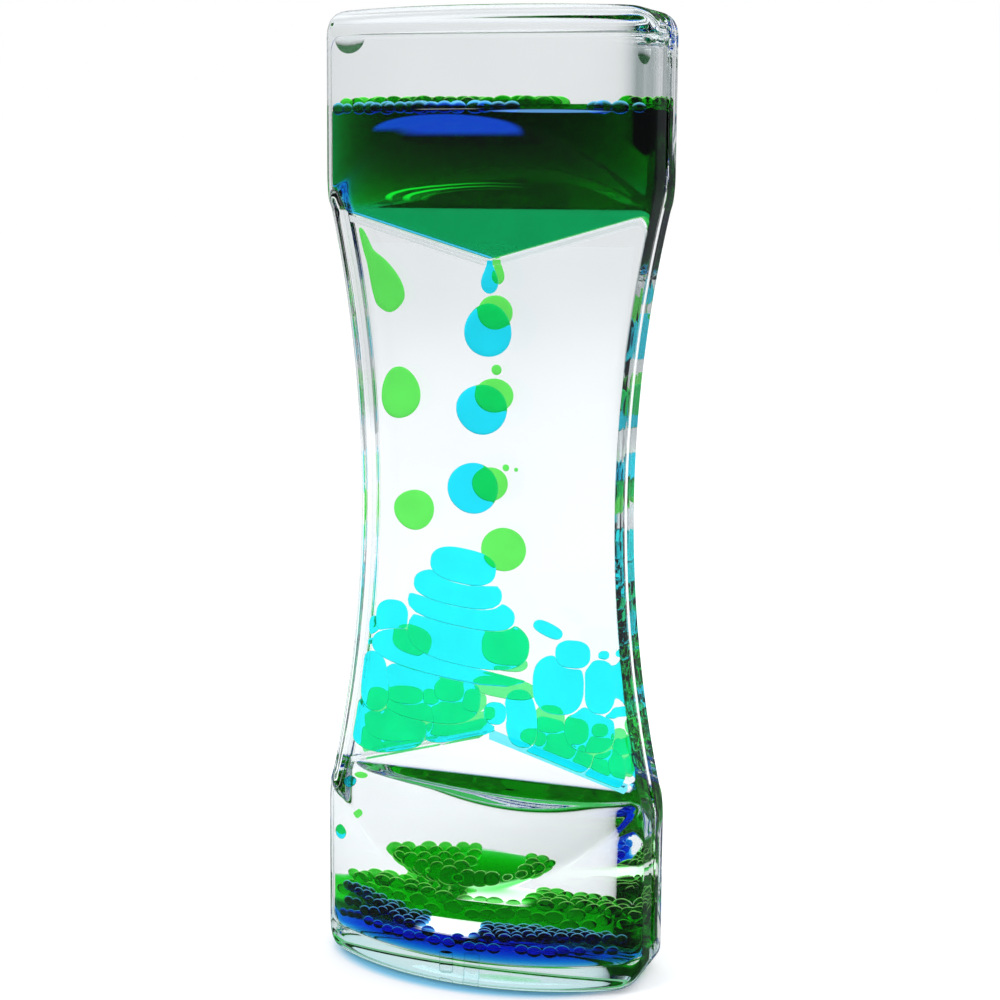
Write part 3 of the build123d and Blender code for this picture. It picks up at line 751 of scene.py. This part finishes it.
class TIMER_OT_divider(bpy.types.Operator):
    """Build the divider plate and finish the ramps and filling plugs"""

    bl_idname = "timer.divider"
    bl_label = "Divider and ramps"

    def execute(self, context):
        vessel = context.scene.timer_vessel
        rows, columns = 260, 5
        z = np.linspace(vessel.seam_depth, vessel.height - vessel.seam_depth, rows)
        wide = half_width(vessel, z, vessel.seam_depth, vessel.seam_depth, vessel.corner_radius)
        x = wide[:, None] * np.linspace(-1, 1, columns)
        z = np.repeat(z[:, None], columns, 1)
        front = np.stack([x, np.full_like(x, -vessel.divider / 2), z], -1)
        points, groups = closed_sheet(front, [], front * (1, -1, 1))
        wetted = wetted_plastic(vessel)
        plate = piece("clear_divider", points, groups, [wetted, outer_plastic(vessel), wetted])
        settle(plate, "vessel", "clear_plastic", "divider_panel")
        clear = clear_material("clear ramp", CLEAR_TINT, OIL_BEND, deep=0.97, cloud=0.008)
        film_tint = (0.20, 0.90, 1.0)
        wet = clear_material("ramp under a film of blue", film_tint, FILM_BEND, deep=0.95, cloud=0.006)
        for side, _ in SIDES:
            for level, way in (("upper", 1), ("lower", -1)):
                for hand in ("left", "right"):
                    node = f"{side}_{level}_{hand}_ramp"
                    points, groups = self.ramp_form(vessel, node, way)
                    ramp = wet if node == "front_lower_right_ramp" else clear
                    slab = piece(f"clear_{node}", points, groups, [ramp] * 3, to_rear=side == "rear")
                    settle(slab, "vessel", "clear_plastic", node)
            node = f"{side}_fill_plug"
            plug = drop_piece(f"clear_{node}", [self.plug_form(node)], plug_plastic(), False)
            settle(plug, "vessel", "clear_plastic", node)
        return {"FINISHED"}

    def ramp_form(self, vessel, node, way):
        """Points and faces of a ramp that leaves a hair of room at its walls."""
        low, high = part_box(node)
        room, steps = 3 * vessel.seam_gap, 24
        slope, rise = math.tan(vessel.ramp_angle), vessel.ramp_thickness / math.cos(vessel.ramp_angle)
        x = np.linspace(low.x, high.x, steps)
        out = np.abs(x)
        top = high.z - slope * (out.max() - out if way > 0 else out - out.min())
        z = np.stack([top - rise, top])
        front = np.stack([np.stack([x, x]), np.full_like(z, -max(abs(low.y), abs(high.y)) + room), z], -1)
        back = front.copy()
        back[..., 1] = -min(abs(low.y), abs(high.y)) - room
        return closed_sheet(front, [], back)

    def plug_form(self, node):
        """Rings of a round plug with soft edges."""
        low, high, middle = box_of(node)
        radius, soft = (high.x - low.x) / 2, 0.15 * MM
        steps = ((0, soft), (soft / 2, soft / 4), (soft, 0))
        levels = [(high.z - down, radius - inset) for down, inset in steps]
        levels += [(low.z + up, radius - inset) for up, inset in reversed(steps)]
        return turned_form(middle.x, middle.y, levels, high.z, low.z)


class TIMER_OT_pools(bpy.types.Operator):
    """Build the upper and lower pools"""

    bl_idname = "timer.pools"
    bl_label = "Pools"

    def execute(self, context):
        vessel, liquid = context.scene.timer_vessel, context.scene.timer_liquid
        film, edge = liquid.oil_film, liquid.pool_edge
        columns, rows, round_steps, passes = 81, 61, 5, 6
        col_share, col_aside, col_drop = rounded_span(np.linspace(-1, 1, columns), round_steps)
        row_share, row_aside, row_drop = rounded_span(np.linspace(-1, 1, rows), round_steps)
        slope = math.tan(vessel.ramp_angle)
        back = -vessel.divider / 2 - film
        thinnest = 0.3 * MM
        for side, colour in SIDES:
            for end in ("upper", "lower"):
                node = f"{colour}_{end}_pool"
                bottom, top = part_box(node)[0].z, pool_top(liquid, f"{colour}_{end}")
                x = np.zeros((len(row_share), len(col_share)))
                for _ in range(passes):
                    floor = bottom + (slope * np.abs(x) if end == "upper" else 0 * x)
                    half = (top - floor) / 2 - edge
                    z = (top + floor) / 2 + half * row_share[:, None] + edge * row_aside[:, None]
                    wide = half_width(vessel, z, vessel.side_wall + film, vessel.end_wall + film,
                                      vessel.inner_corner) - edge
                    x = wide * col_share + edge * col_aside
                depth = front_depth(vessel, x, z, vessel.front_wall + film, vessel.window_wall + liquid.window_film)
                depth = np.maximum(depth - edge * (row_drop[:, None] + col_drop), thinnest - back)
                front = np.stack([x, -depth, z], -1)
                behind = front.copy()
                behind[..., 1] = back
                points, groups = closed_sheet(front, [], behind)
                stuff = pool_material(liquid, f"{colour}_{end}")
                pool = piece(f"{colour}_{end}_liquid", points, groups, [stuff] * 3, to_rear=side == "rear")
                settle(pool, "vessel", f"{colour}_liquid", node)
        return {"FINISHED"}


# Drops

def egg(narrowing, tilt, count=72):
    """Outline of a circle that narrows towards its top, turned to the left by a tilt."""
    turn = full_turn(count)
    x, z = np.cos(turn) * (1 - narrowing * np.sin(turn)), np.sin(turn)
    c, s = math.cos(tilt), math.sin(tilt)
    return np.stack([c * x - s * z, s * x + c * z], -1)


def smooth_loop(corners, steps=8):
    """Closed outline that runs smoothly through its corners, anticlockwise."""
    given = np.array(corners, float)[::-1]
    before, after, beyond = np.roll(given, 1, 0), np.roll(given, -1, 0), np.roll(given, -2, 0)
    points = []
    for t in np.linspace(0, 1, steps, endpoint=False):
        points.append(0.5 * (2 * given + (after - before) * t
                             + (2 * before - 5 * given + 4 * after - beyond) * t ** 2
                             + (3 * given - before - 3 * after + beyond) * t ** 3))
    return np.stack(points, 1).reshape(-1, 2)


def flat_drop(outline, middle, front, back, rim):
    """Rings and middle points of a drop held between two walls: an outline about a middle, with a round rim."""
    reach = np.linalg.norm(outline, axis=1)
    aim = outline / reach[:, None]
    rim_steps, most_inset = 6, 0.6
    turns = np.linspace(0, math.pi / 2, rim_steps)
    rim = min(rim, (back - front) / 2)
    inset = np.minimum(rim, most_inset * reach)
    rings = []
    for y, way in ((front, 1), (back, -1)):
        side = [np.column_stack([middle[0] + aim[:, 0] * (reach - inset * (1 - math.sin(t))),
                                 np.full(len(reach), y + way * rim * (1 - math.cos(t))),
                                 middle[1] + aim[:, 1] * (reach - inset * (1 - math.sin(t)))]) for t in turns]
        rings += side[::way]
    return np.array(rings), (middle[0], front, middle[1]), (middle[0], back, middle[1])


def joined(forms):
    """Several closed ring forms as one set of points, faces and caps."""
    points, groups, caps, start = [], [], [], 0
    for form in forms:
        form_points, strips, form_caps = closed_rings(*form)
        points.append(form_points)
        groups += [strip + start for strip in strips]
        caps += [tuple(start + i for i in cap) for cap in form_caps]
        start += len(form_points)
    return np.concatenate(points), groups, caps


def drop_piece(name, forms, material, to_rear):
    """One smooth piece of several closed ring forms."""
    points, groups, caps = joined(forms)
    return piece(name, points, groups, [material] * len(groups), to_rear=to_rear, caps=caps)


def ball(middle, radius, around=20, along=10):
    """Rings of a small round bead, from its front to its back."""
    x, y, z = middle
    turn = full_turn(around)
    lean = np.linspace(0, math.pi, along + 2)[1:-1]
    rings = [np.column_stack([x + radius * math.sin(a) * np.cos(turn), np.full(around, y - radius * math.cos(a)),
                              z + radius * math.sin(a) * np.sin(turn)]) for a in lean]
    return np.array(rings), (x, y - radius, z), (x, y + radius, z)


def chamber_faces(vessel, liquid):
    """Front and back of the space that flat drops fill, in the front chamber."""
    return (-(vessel.edge_depth / 2 - vessel.window_wall - liquid.oil_film), -vessel.divider / 2 - liquid.oil_film)


def oval_field(points, oval):
    """Rough distance of points from a tilted oval, less than nothing inside it."""
    x, z, wide, high, tilt = oval
    c, s = math.cos(tilt), math.sin(tilt)
    away = points - (x, z)
    along, across = c * away[..., 0] + s * away[..., 1], c * away[..., 1] - s * away[..., 0]
    share = (np.abs(along / wide) ** FULLNESS + np.abs(across / high) ** FULLNESS) ** (1 / FULLNESS)
    return (share - 1) * np.hypot(away[..., 0], away[..., 1]) / np.maximum(share, 1e-6)


def settled_field(vessel, points, oval, earlier, gap):
    """Rough distance of points from a settled drop that gives way to earlier ones, to the walls and to the ramp."""
    field = oval_field(points, oval)
    soft = 0.6 * MM
    for other in earlier:
        if math.dist(other[:2], oval[:2]) < max(other[2:4]) + max(oval[2:4]) + gap:
            field = smooth_max(field, gap - oval_field(points, other), soft)
    wall = half_width(vessel, points[..., 1], vessel.side_wall + gap, vessel.end_wall, vessel.inner_corner)
    field = smooth_max(field, np.abs(points[..., 0]) - wall, soft)
    floor = vessel.funnel_height - np.abs(points[..., 0]) * math.tan(vessel.ramp_angle) + gap
    return smooth_max(field, floor - points[..., 1], soft)


def settled_outline(vessel, oval, earlier, gap, count=96):
    """Middle and outline of a settled drop."""
    net_steps, reach_steps, furthest = 61, 240, 2.2
    wide = max(oval[2:4])
    spread = np.linspace(-wide, wide, net_steps)
    net = np.stack(np.meshgrid(spread, spread), -1) + oval[:2]
    inside = settled_field(vessel, net, oval, earlier, gap)
    middle = net.reshape(-1, 2)[inside.argmin()]
    turn = full_turn(count)
    aim = np.stack([np.cos(turn), np.sin(turn)], -1)
    reach = np.linspace(0, furthest * wide, reach_steps)
    field = settled_field(vessel, middle + aim[:, None, :] * reach[None, :, None], oval, earlier, gap)
    outside = field > 0
    outside[:, -1] = True
    first = np.maximum(outside.argmax(1), 2)
    near = np.take_along_axis(field, first[:, None] - 1, 1)[:, 0]
    far = np.take_along_axis(field, first[:, None], 1)[:, 0]
    share = np.clip(near / np.where(near - far == 0, 1, near - far), 0, 1)
    length = reach[first - 1] + share * (reach[1] - reach[0])
    return middle, aim * length[:, None]


class TIMER_OT_falling(bpy.types.Operator):
    """Build the falling drops, the beads that follow them and the drips"""

    bl_idname = "timer.falling"
    bl_label = "Falling drops"

    def execute(self, context):
        vessel, liquid = context.scene.timer_vessel, context.scene.timer_liquid
        front, back = chamber_faces(vessel, liquid)
        for node, (narrowing, tilt) in FALLING.items():
            colour = colour_of(node)
            low, high, middle = box_of(node)
            outline = egg(narrowing, math.radians(tilt))
            outline = (outline - (outline.max(0) + outline.min(0)) / 2) * 2 / np.ptp(outline, axis=0)
            outline = outline * ((high.x - low.x) / 2, (high.z - low.z) / 2)
            form = flat_drop(outline, (middle.x, middle.z), front, back, liquid.drop_rim)
            drop = drop_piece(f"{node}_liquid", [form], drop_material(liquid, colour), colour == "green")
            settle(drop, node, f"{colour}_liquid", node)
        for node, places in FOLLOWING.items():
            middle = box_of(node)[2]
            beads = [ball((middle.x + x * MM, front + radius * MM, middle.z + z * MM), radius * MM)
                     for x, z, radius in places]
            trail = drop_piece(f"{node}_trail", beads, drop_material(liquid, "green"), True)
            settle(trail, node, "green_liquid", f"{node}_beads")
        narrowing = 0.3
        for node in ("blue_drip_1", "blue_drip_2", "green_drip_1", "green_drip_2"):
            colour = colour_of(node)
            low, high, middle = box_of(node)
            rings, near, far = ball((middle.x, -abs(middle.y), middle.z), (high.x - low.x) / 2, around=32, along=16)
            rise = np.clip((rings[..., 2] - middle.z) / (high.z - middle.z), 0, 1)
            rings[..., 0] += (middle.x - rings[..., 0]) * narrowing * rise ** 2
            drip = drop_piece(f"{node}_liquid", [(rings, near, far)], drop_material(liquid, colour),
                              colour == "green")
            settle(drip, node, f"{colour}_liquid", node)
        return {"FINISHED"}


class TIMER_OT_hanging(bpy.types.Operator):
    """Build the drops that hang from the orifices and the thread at the left"""

    bl_idname = "timer.hanging"
    bl_label = "Hanging drops"

    def execute(self, context):
        vessel, liquid = context.scene.timer_vessel, context.scene.timer_liquid
        front, back = chamber_faces(vessel, liquid)
        neck, belly, steps = 0.4 * MM, 0.32, 34
        up = (1 + np.cos(np.linspace(0, math.pi, steps)[1:-1])) / 2
        for colour in ("blue", "green"):
            node = f"{colour}_hanging_drop"
            low, high, middle = box_of(node)
            radius = (high.x - low.x) / 2
            round_end = radius * np.sqrt(np.maximum(0, 1 - (up / belly - 1) ** 2))
            taper = neck + (radius - neck) * (0.5 + 0.5 * np.cos(math.pi * (up - belly) / (1 - belly)))
            width = np.where(up < belly, round_end, taper)
            levels = zip(low.z + up * (high.z - low.z), width)
            form = turned_form(middle.x, -abs(middle.y), levels, high.z, low.z)
            drop = drop_piece(f"{colour}_hanging_liquid", [form], drop_material(liquid, colour), colour == "green")
            settle(drop, "vessel", f"{colour}_liquid", node)
        low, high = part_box("green_side_thread")
        size, bulb_share = np.array((high.x - low.x, high.z - low.z)), (0.69, 0.217)
        outline = smooth_loop(THREAD)
        outline = (outline - outline.min(0)) / np.ptp(outline, axis=0) * size
        bulb = size * bulb_share
        form = flat_drop(outline - bulb, (low.x + bulb[0], low.z + bulb[1]), front, back, liquid.drop_rim)
        thread = drop_piece("green_thread_liquid", [form], drop_material(liquid, "green"), True)
        settle(thread, "vessel", "green_liquid", "green_side_thread")
        return {"FINISHED"}


class TIMER_OT_settled(bpy.types.Operator):
    """Build the drops that have settled on the lower ramps"""

    bl_idname = "timer.settled"
    bl_label = "Settled drops"

    def execute(self, context):
        vessel, liquid = context.scene.timer_vessel, context.scene.timer_liquid
        front, back = chamber_faces(vessel, liquid)
        for colour in ("blue", "green"):
            earlier = []
            for node, places in SETTLED.items():
                if not node.startswith(colour):
                    continue
                forms = []
                for x, over, wide, high, tilt in places:
                    oval = (x * MM, vessel.funnel_height + over * MM, wide * MM, high * MM, math.radians(tilt))
                    middle, outline = settled_outline(vessel, oval, earlier, liquid.oil_film)
                    forms.append(flat_drop(outline, middle, front, back, liquid.drop_rim))
                    earlier.append(oval)
                drops = drop_piece(f"{node}_liquid", forms, drop_material(liquid, colour, "settled"),
                                   colour == "green")
                settle(drops, "vessel", f"{colour}_liquid", node)
        return {"FINISHED"}


def bead_group():
    """Node group that strews round beads over patches of a surface."""
    name = "Strewn beads"
    if name in bpy.data.node_groups:
        return bpy.data.node_groups[name]
    group = bpy.data.node_groups.new(name, "GeometryNodeTree")
    for socket, kind in (("Geometry", "NodeSocketGeometry"), ("Spacing", "NodeSocketFloat"),
                         ("Radius", "NodeSocketFloat"), ("Seed", "NodeSocketInt"),
                         ("Material", "NodeSocketMaterial")):
        group.interface.new_socket(socket, in_out="INPUT", socket_type=kind)
    group.interface.new_socket("Geometry", in_out="OUTPUT", socket_type="NodeSocketGeometry")
    given = group.nodes.new("NodeGroupInput").outputs
    most_beads, flatness, least_size = 4000000, 0.72, 0.7
    strewn = add_node(group, "GeometryNodeDistributePointsOnFaces",
                      {"Mesh": given["Geometry"], "Distance Min": given["Spacing"], "Density Max": most_beads,
                       "Seed": given["Seed"]}, distribute_method="POISSON")
    ball_mesh = add_node(group, "GeometryNodeMeshUVSphere", {"Segments": 12, "Rings": 8, "Radius": given["Radius"]})
    flattened = add_node(group, "GeometryNodeTransform",
                         {"Geometry": ball_mesh.outputs["Mesh"], "Scale": (1, 1, flatness)})
    size = add_node(group, "FunctionNodeRandomValue", {2: least_size, 3: 1.0, "Seed": given["Seed"]})
    placed = add_node(group, "GeometryNodeInstanceOnPoints",
                      {"Points": strewn.outputs["Points"], "Instance": flattened.outputs["Geometry"],
                       "Scale": size.outputs[1]})
    real = add_node(group, "GeometryNodeRealizeInstances", {"Geometry": placed.outputs["Instances"]})
    smooth = add_node(group, "GeometryNodeSetShadeSmooth", {"Geometry": real.outputs["Geometry"]})
    painted = add_node(group, "GeometryNodeSetMaterial",
                       {"Geometry": smooth.outputs["Geometry"], "Material": given["Material"]})
    add_node(group, "NodeGroupOutput", {"Geometry": painted.outputs["Geometry"]})
    return group


class TIMER_OT_beads(bpy.types.Operator):
    """Heap up beads on the pools"""

    bl_idname = "timer.beads"
    bl_label = "Beads"

    def execute(self, context):
        vessel, liquid = context.scene.timer_vessel, context.scene.timer_liquid
        hem_rows = 6
        for number, (pool, (spacing, radius, lift, cover, smooth, hems, mounds)) in enumerate(BEADS.items()):
            colour = colour_of(pool)
            level = pool_top(liquid, pool)
            column = self.drip_column(colour) if pool.endswith("lower") else None
            top = self.surface(vessel, liquid, level, radius * MM, cover, mounds, column)
            if mounds:
                base = top.copy()
                base[..., 2] = level + vessel.seam_gap
                crest = top.copy()
                crest[..., 2] = np.maximum(crest[..., 2], level + 2 * vessel.seam_gap)
                points, groups = closed_sheet(crest, [], base)
                heap = piece(f"{pool}_heap", points, groups, [pool_material(liquid, pool)] * 3,
                             to_rear=colour == "green")
                settle(heap, "vessel", f"{colour}_liquid")
            share = np.linspace(0, 1, hem_rows + 1)[1:, None]
            front_hem, back_hem = (np.repeat(row[None], hem_rows, 0) for row in (top[0], top[-1]))
            for hem, reach in ((front_hem, hems[0]), (back_hem, hems[1])):
                hem[..., 2] += (level - reach * MM - hem[..., 2]) * share
            sheets = [sheet for sheet, reach in ((top, 1), (np.concatenate([front_hem[::-1], top[:1]]), hems[0]),
                                                 (np.concatenate([top[-1:], back_hem]), hems[1])) if reach]
            points, faces = self.patches(sheets, smooth)
            if column:
                faces = self.leave_room(points, faces, column, level, radius * MM)
            used = np.unique(faces)
            place = np.zeros(len(points), int)
            place[used] = np.arange(len(used))
            beads = piece(f"{pool}_beads", points[used] + (0, 0, lift * MM), [place[faces]], [bead_material(pool)],
                          to_rear=colour == "green")
            strewn = beads.modifiers.new("Beads", "NODES")
            strewn.node_group = bead_group()
            values = {"Spacing": spacing * MM, "Radius": radius * MM, "Seed": liquid.bead_seed + number,
                      "Material": bead_material(pool)}
            for socket in strewn.node_group.interface.items_tree:
                if socket.name in values:
                    strewn[socket.identifier] = values[socket.name]
            made = bpy.data.meshes.new_from_object(beads.evaluated_get(context.evaluated_depsgraph_get()))
            if not made.polygons:
                raise RuntimeError(f"no beads on {pool}")
            beads.modifiers.clear()
            beads.data = made
            settle(beads, "vessel", f"{colour}_liquid")
        self.add_air(vessel)
        return {"FINISHED"}

    def patches(self, sheets, smooth):
        """Points and faces of grids, without the smooth stretch in the first one."""
        points, faces, start = [], [], 0
        for sheet in sheets:
            rows, cols = sheet.shape[:2]
            index = np.arange(rows * cols).reshape(rows, cols)
            quads = np.stack([index[:-1, :-1], index[:-1, 1:], index[1:, 1:], index[1:, :-1]], -1).reshape(-1, 4)
            middle = sheet.reshape(-1, 3)[quads][..., 0].mean(1) / MM
            kept = (middle < smooth[0]) | (middle > smooth[1]) | (start > 0)
            faces.append(quads[kept] + start)
            points.append(sheet.reshape(-1, 3))
            start += rows * cols
        return np.concatenate(points), np.concatenate(faces)

    def drip_column(self, colour):
        """Sideways place, distance from the middle and radius of the space that the lower drip sinks through."""
        low, high, middle = box_of(f"{colour}_drip_2")
        return middle.x, abs(middle.y), (high.x - low.x) / 2

    def leave_room(self, points, faces, column, level, radius):
        """The faces whose beads stay clear of the space that a drip sinks through."""
        x, y, z = points[faces].mean(1).T
        room = 0.2 * MM
        near = np.hypot(x - column[0], -y - column[1]) < column[2] + radius + room
        return faces[~(near & (z > level - radius))]

    def surface(self, vessel, liquid, level, radius, cover, mounds, column):
        """Grid of points over a pool, rows from the front wall to the divider, raised by the mounds."""
        room = radius + liquid.oil_film
        half = half_width(vessel, np.array(level), vessel.side_wall + room, vessel.end_wall, vessel.inner_corner)
        columns, rows = 90, 24
        x = np.linspace(-half, half, columns)
        far = vessel.divider / 2 + room
        near = front_depth(vessel, x, np.full_like(x, level), vessel.front_wall, vessel.window_wall) - room
        share = np.linspace(cover[1], cover[0], rows)[:, None]
        depth = far + (np.maximum(near, far + radius) - far) * share
        x = np.repeat(x[None, :], len(depth), 0)
        rise = sum(high * np.exp(-((x / MM - across) / wide) ** 2 - ((depth / MM - behind) / deep) ** 2)
                   for across, behind, wide, deep, high in mounds) + np.zeros_like(x)
        if column:
            clearance = 0.3 * MM
            away = np.hypot(x - column[0], depth - column[1]) - column[2]
            rise = rise * np.clip((away - clearance) / radius, 0, 1)
        return np.stack([x, -depth, level + rise * MM], -1)

    def add_air(self, vessel):
        """Bubbles of air under the ceiling of the chambers."""
        air = air_material()
        ceiling = vessel.height - vessel.end_wall - 2 * vessel.seam_gap
        flat, steps = 0.6, 14
        sink = np.linspace(0, math.pi / 2, steps)[:-1]
        for chamber, *sizes in AIR:
            across, behind, wide, high = (size * MM for size in sizes)
            levels = [(ceiling - high * math.sin(a), wide * math.cos(a)) for a in sink]
            form = turned_form(across, -behind, levels, ceiling, ceiling - high, flat)
            bubble = drop_piece(f"{chamber}_air_bubble", [form], air, chamber == "rear")
            settle(bubble, "vessel", "clear_plastic")


class TIMER_OT_stage(bpy.types.Operator):
    """Set up floor, light and camera"""

    bl_idname = "timer.stage"
    bl_label = "Studio"

    def execute(self, context):
        stage, scene = context.scene.timer_stage, context.scene
        self.add_world(scene)
        self.add_floor(stage, scene)
        self.add_lamps(scene)
        self.add_camera(stage, scene)
        scene.view_settings.view_transform = "Standard"
        scene.cycles.max_bounces = scene.cycles.transmission_bounces = 40
        scene.cycles.glossy_bounces = 10
        return {"FINISHED"}

    def add_world(self, scene):
        """White all round for the camera, with soft grey flags at both sides for what glass shows."""
        pale, flag_grey, mirror_grey, white = ((0.93, 0.94, 0.95, 1), (0.40, 0.45, 0.45, 1),
                                               (0.10, 0.11, 0.12, 1), (1, 1, 1, 1))
        scene.world = bpy.data.worlds.new("Studio white")
        scene.world.use_nodes = True
        tree = scene.world.node_tree
        tree.nodes.clear()
        path = tree.nodes.new("ShaderNodeLightPath").outputs
        side = maths(tree, "ABSOLUTE", parts_of(tree, coordinates(tree)["Generated"])["X"])
        flag_from, flag_full = 0.72, 0.95
        tone = mixed(tree, eased(tree, side, flag_from, flag_full), pale, flag_grey)
        dimmed = mixed(tree, mirror_only(tree, path), tone, mirror_grey)
        shown = mixed(tree, path["Is Camera Ray"], dimmed, white)
        shader = add_node(tree, "ShaderNodeBackground", {"Color": shown})
        add_node(tree, "ShaderNodeOutputWorld", {"Surface": shader.outputs[0]})

    def add_floor(self, stage, scene):
        """Wide pale floor that takes the shadow."""
        half, z = stage.floor_size / 2, -stage.floor_gap
        mesh = bpy.data.meshes.new("floor")
        corners = [(x * half, y * half, z) for x, y in ((-1, -1), (1, -1), (1, 1), (-1, 1))]
        mesh.from_pydata(corners, [], [(0, 1, 2, 3)])
        floor = bpy.data.objects.new("floor", mesh)
        scene.collection.objects.link(floor)
        mesh.materials.append(self.floor_material(stage))

    def floor_material(self, stage):
        """Matt pale floor that shines a little for the camera, and more where it is seen through the base."""
        mirror_grey, to_camera, through_clear = (0.12, 0.13, 0.14, 1), 0.28, 0.14
        material, shader = node_material("pale floor")
        tree = material.node_tree
        plain = drifting_tint(tree, stage.floor_colour, deep=0.99, cloud=0.2)
        glow, seen, lit = self.add_glow(stage, tree, plain)
        path = tree.nodes.new("ShaderNodeLightPath").outputs
        through = path["Is Transmission Ray"]
        under = maths(tree, "MULTIPLY_ADD", lit, stage.under_light, through_clear)
        strength = maths(tree, "MULTIPLY_ADD", through, under, product(tree, path["Is Camera Ray"], to_camera))
        # Painted reflection: the floor turns dark grey where the outside of the vessel mirrors it
        for name, value in (("Base Color", mixed(tree, mirror_only(tree, path), glow, mirror_grey)),
                            ("Emission Color", mixed(tree, through, glow, seen)), ("Emission Strength", strength)):
            tree.links.new(value, shader.inputs[name])
        shader.inputs["Roughness"].default_value = 0.9
        shader.inputs["Specular IOR Level"].default_value = 0.0
        return material

    def add_glow(self, stage, tree, plain):
        """Floor colour with the lower pools' light on it, that seen through the base, and where the light lies."""
        blue, green = (*stage.glow_colour, 1), (*stage.rear_glow, 1)
        place = coordinates(tree)["Object"]
        squeezed = vector_maths(tree, "MULTIPLY_ADD", place, (1, stage.glow_squeeze, 0), (-stage.glow_offset, 0, 0))
        reach = vector_maths(tree, "LENGTH", squeezed[0])["Value"]
        lit = eased(tree, reach, stage.glow_reach, stage.glow_reach - stage.glow_fade)
        half_blend = 2 * MM
        rear = eased(tree, parts_of(tree, place)["Y"], -half_blend, half_blend)
        through = mixed(tree, product(tree, lit, rear), plain, green)
        return mixed(tree, lit, plain, mixed(tree, rear, blue, green)), through, lit

    def add_lamps(self, scene):
        """Two soft boxes, one over the front and one behind."""
        lit_place = Vector((0, 0, 0.06))
        for name, place, size, power in (("front soft box", (-0.5, -0.6, 0.7), 0.5, 3.0),
                                         ("rear soft box", (0.5, 0.7, 0.8), 0.6, 3.0)):
            lamp = bpy.data.lights.new(name, "AREA")
            lamp.energy, lamp.size = power, size
            obj = bpy.data.objects.new(name, lamp)
            obj.location = place
            obj.rotation_mode = "QUATERNION"
            obj.rotation_quaternion = (lit_place - Vector(place)).to_track_quat("-Z", "Y")
            obj.visible_camera = obj.visible_transmission = obj.visible_glossy = False
            scene.collection.objects.link(obj)

    def add_camera(self, stage, scene):
        """Camera to the right of the front, a little above the timer."""
        data = bpy.data.cameras.new("camera")
        data.lens = stage.lens
        data.shift_x, data.shift_y = stage.shift
        data.clip_start = 0.01
        camera = bpy.data.objects.new("camera", data)
        place = Vector((stage.distance * math.sin(stage.azimuth), -stage.distance * math.cos(stage.azimuth),
                        stage.camera_height))
        camera.location = place
        camera.rotation_mode = "QUATERNION"
        aim = (Vector((0, 0, stage.aim_height)) - place).to_track_quat("-Z", "Y")
        camera.rotation_quaternion = aim @ Quaternion((0, 0, 1), stage.roll)
        scene.collection.objects.link(camera)
        scene.camera = camera


class TIMER_PT_panel(bpy.types.Panel):
    """Sizes, colours and steps of the timer"""

    bl_idname = "TIMER_PT_panel"
    bl_label = "Liquid Motion Timer"
    bl_space_type = "VIEW_3D"
    bl_region_type = "UI"
    bl_category = "Timer"

    def draw(self, context):
        layout, scene = self.layout, context.scene
        for title, settings in (("Vessel", scene.timer_vessel), ("Liquids", scene.timer_liquid),
                                ("Studio", scene.timer_stage)):
            box = layout.box()
            box.label(text=title)
            for name in type(settings).__annotations__:
                box.prop(settings, name)
        steps = layout.column(align=True)
        for step in OPERATORS:
            steps.operator(step.bl_idname)


OPERATORS = (TIMER_OT_shells, TIMER_OT_divider, TIMER_OT_pools, TIMER_OT_falling, TIMER_OT_hanging,
             TIMER_OT_settled, TIMER_OT_beads, TIMER_OT_stage)
CLASSES = (TimerVessel, TimerLiquid, TimerStage, *OPERATORS, TIMER_PT_panel)


def register():
    for cls in CLASSES:
        bpy.utils.register_class(cls)
    bpy.types.Scene.timer_vessel = PointerProperty(type=TimerVessel)
    bpy.types.Scene.timer_liquid = PointerProperty(type=TimerLiquid)
    bpy.types.Scene.timer_stage = PointerProperty(type=TimerStage)


def unregister():
    del bpy.types.Scene.timer_stage
    del bpy.types.Scene.timer_liquid
    del bpy.types.Scene.timer_vessel
    for cls in reversed(CLASSES):
        bpy.utils.unregister_class(cls)


def main():
    register()
    bpy.ops.timer.shells()
    bpy.ops.timer.divider()
    bpy.ops.timer.pools()
    bpy.ops.timer.falling()
    bpy.ops.timer.hanging()
    bpy.ops.timer.settled()
    bpy.ops.timer.beads()
    bpy.ops.timer.stage()


if __name__ == "__main__":
    main()
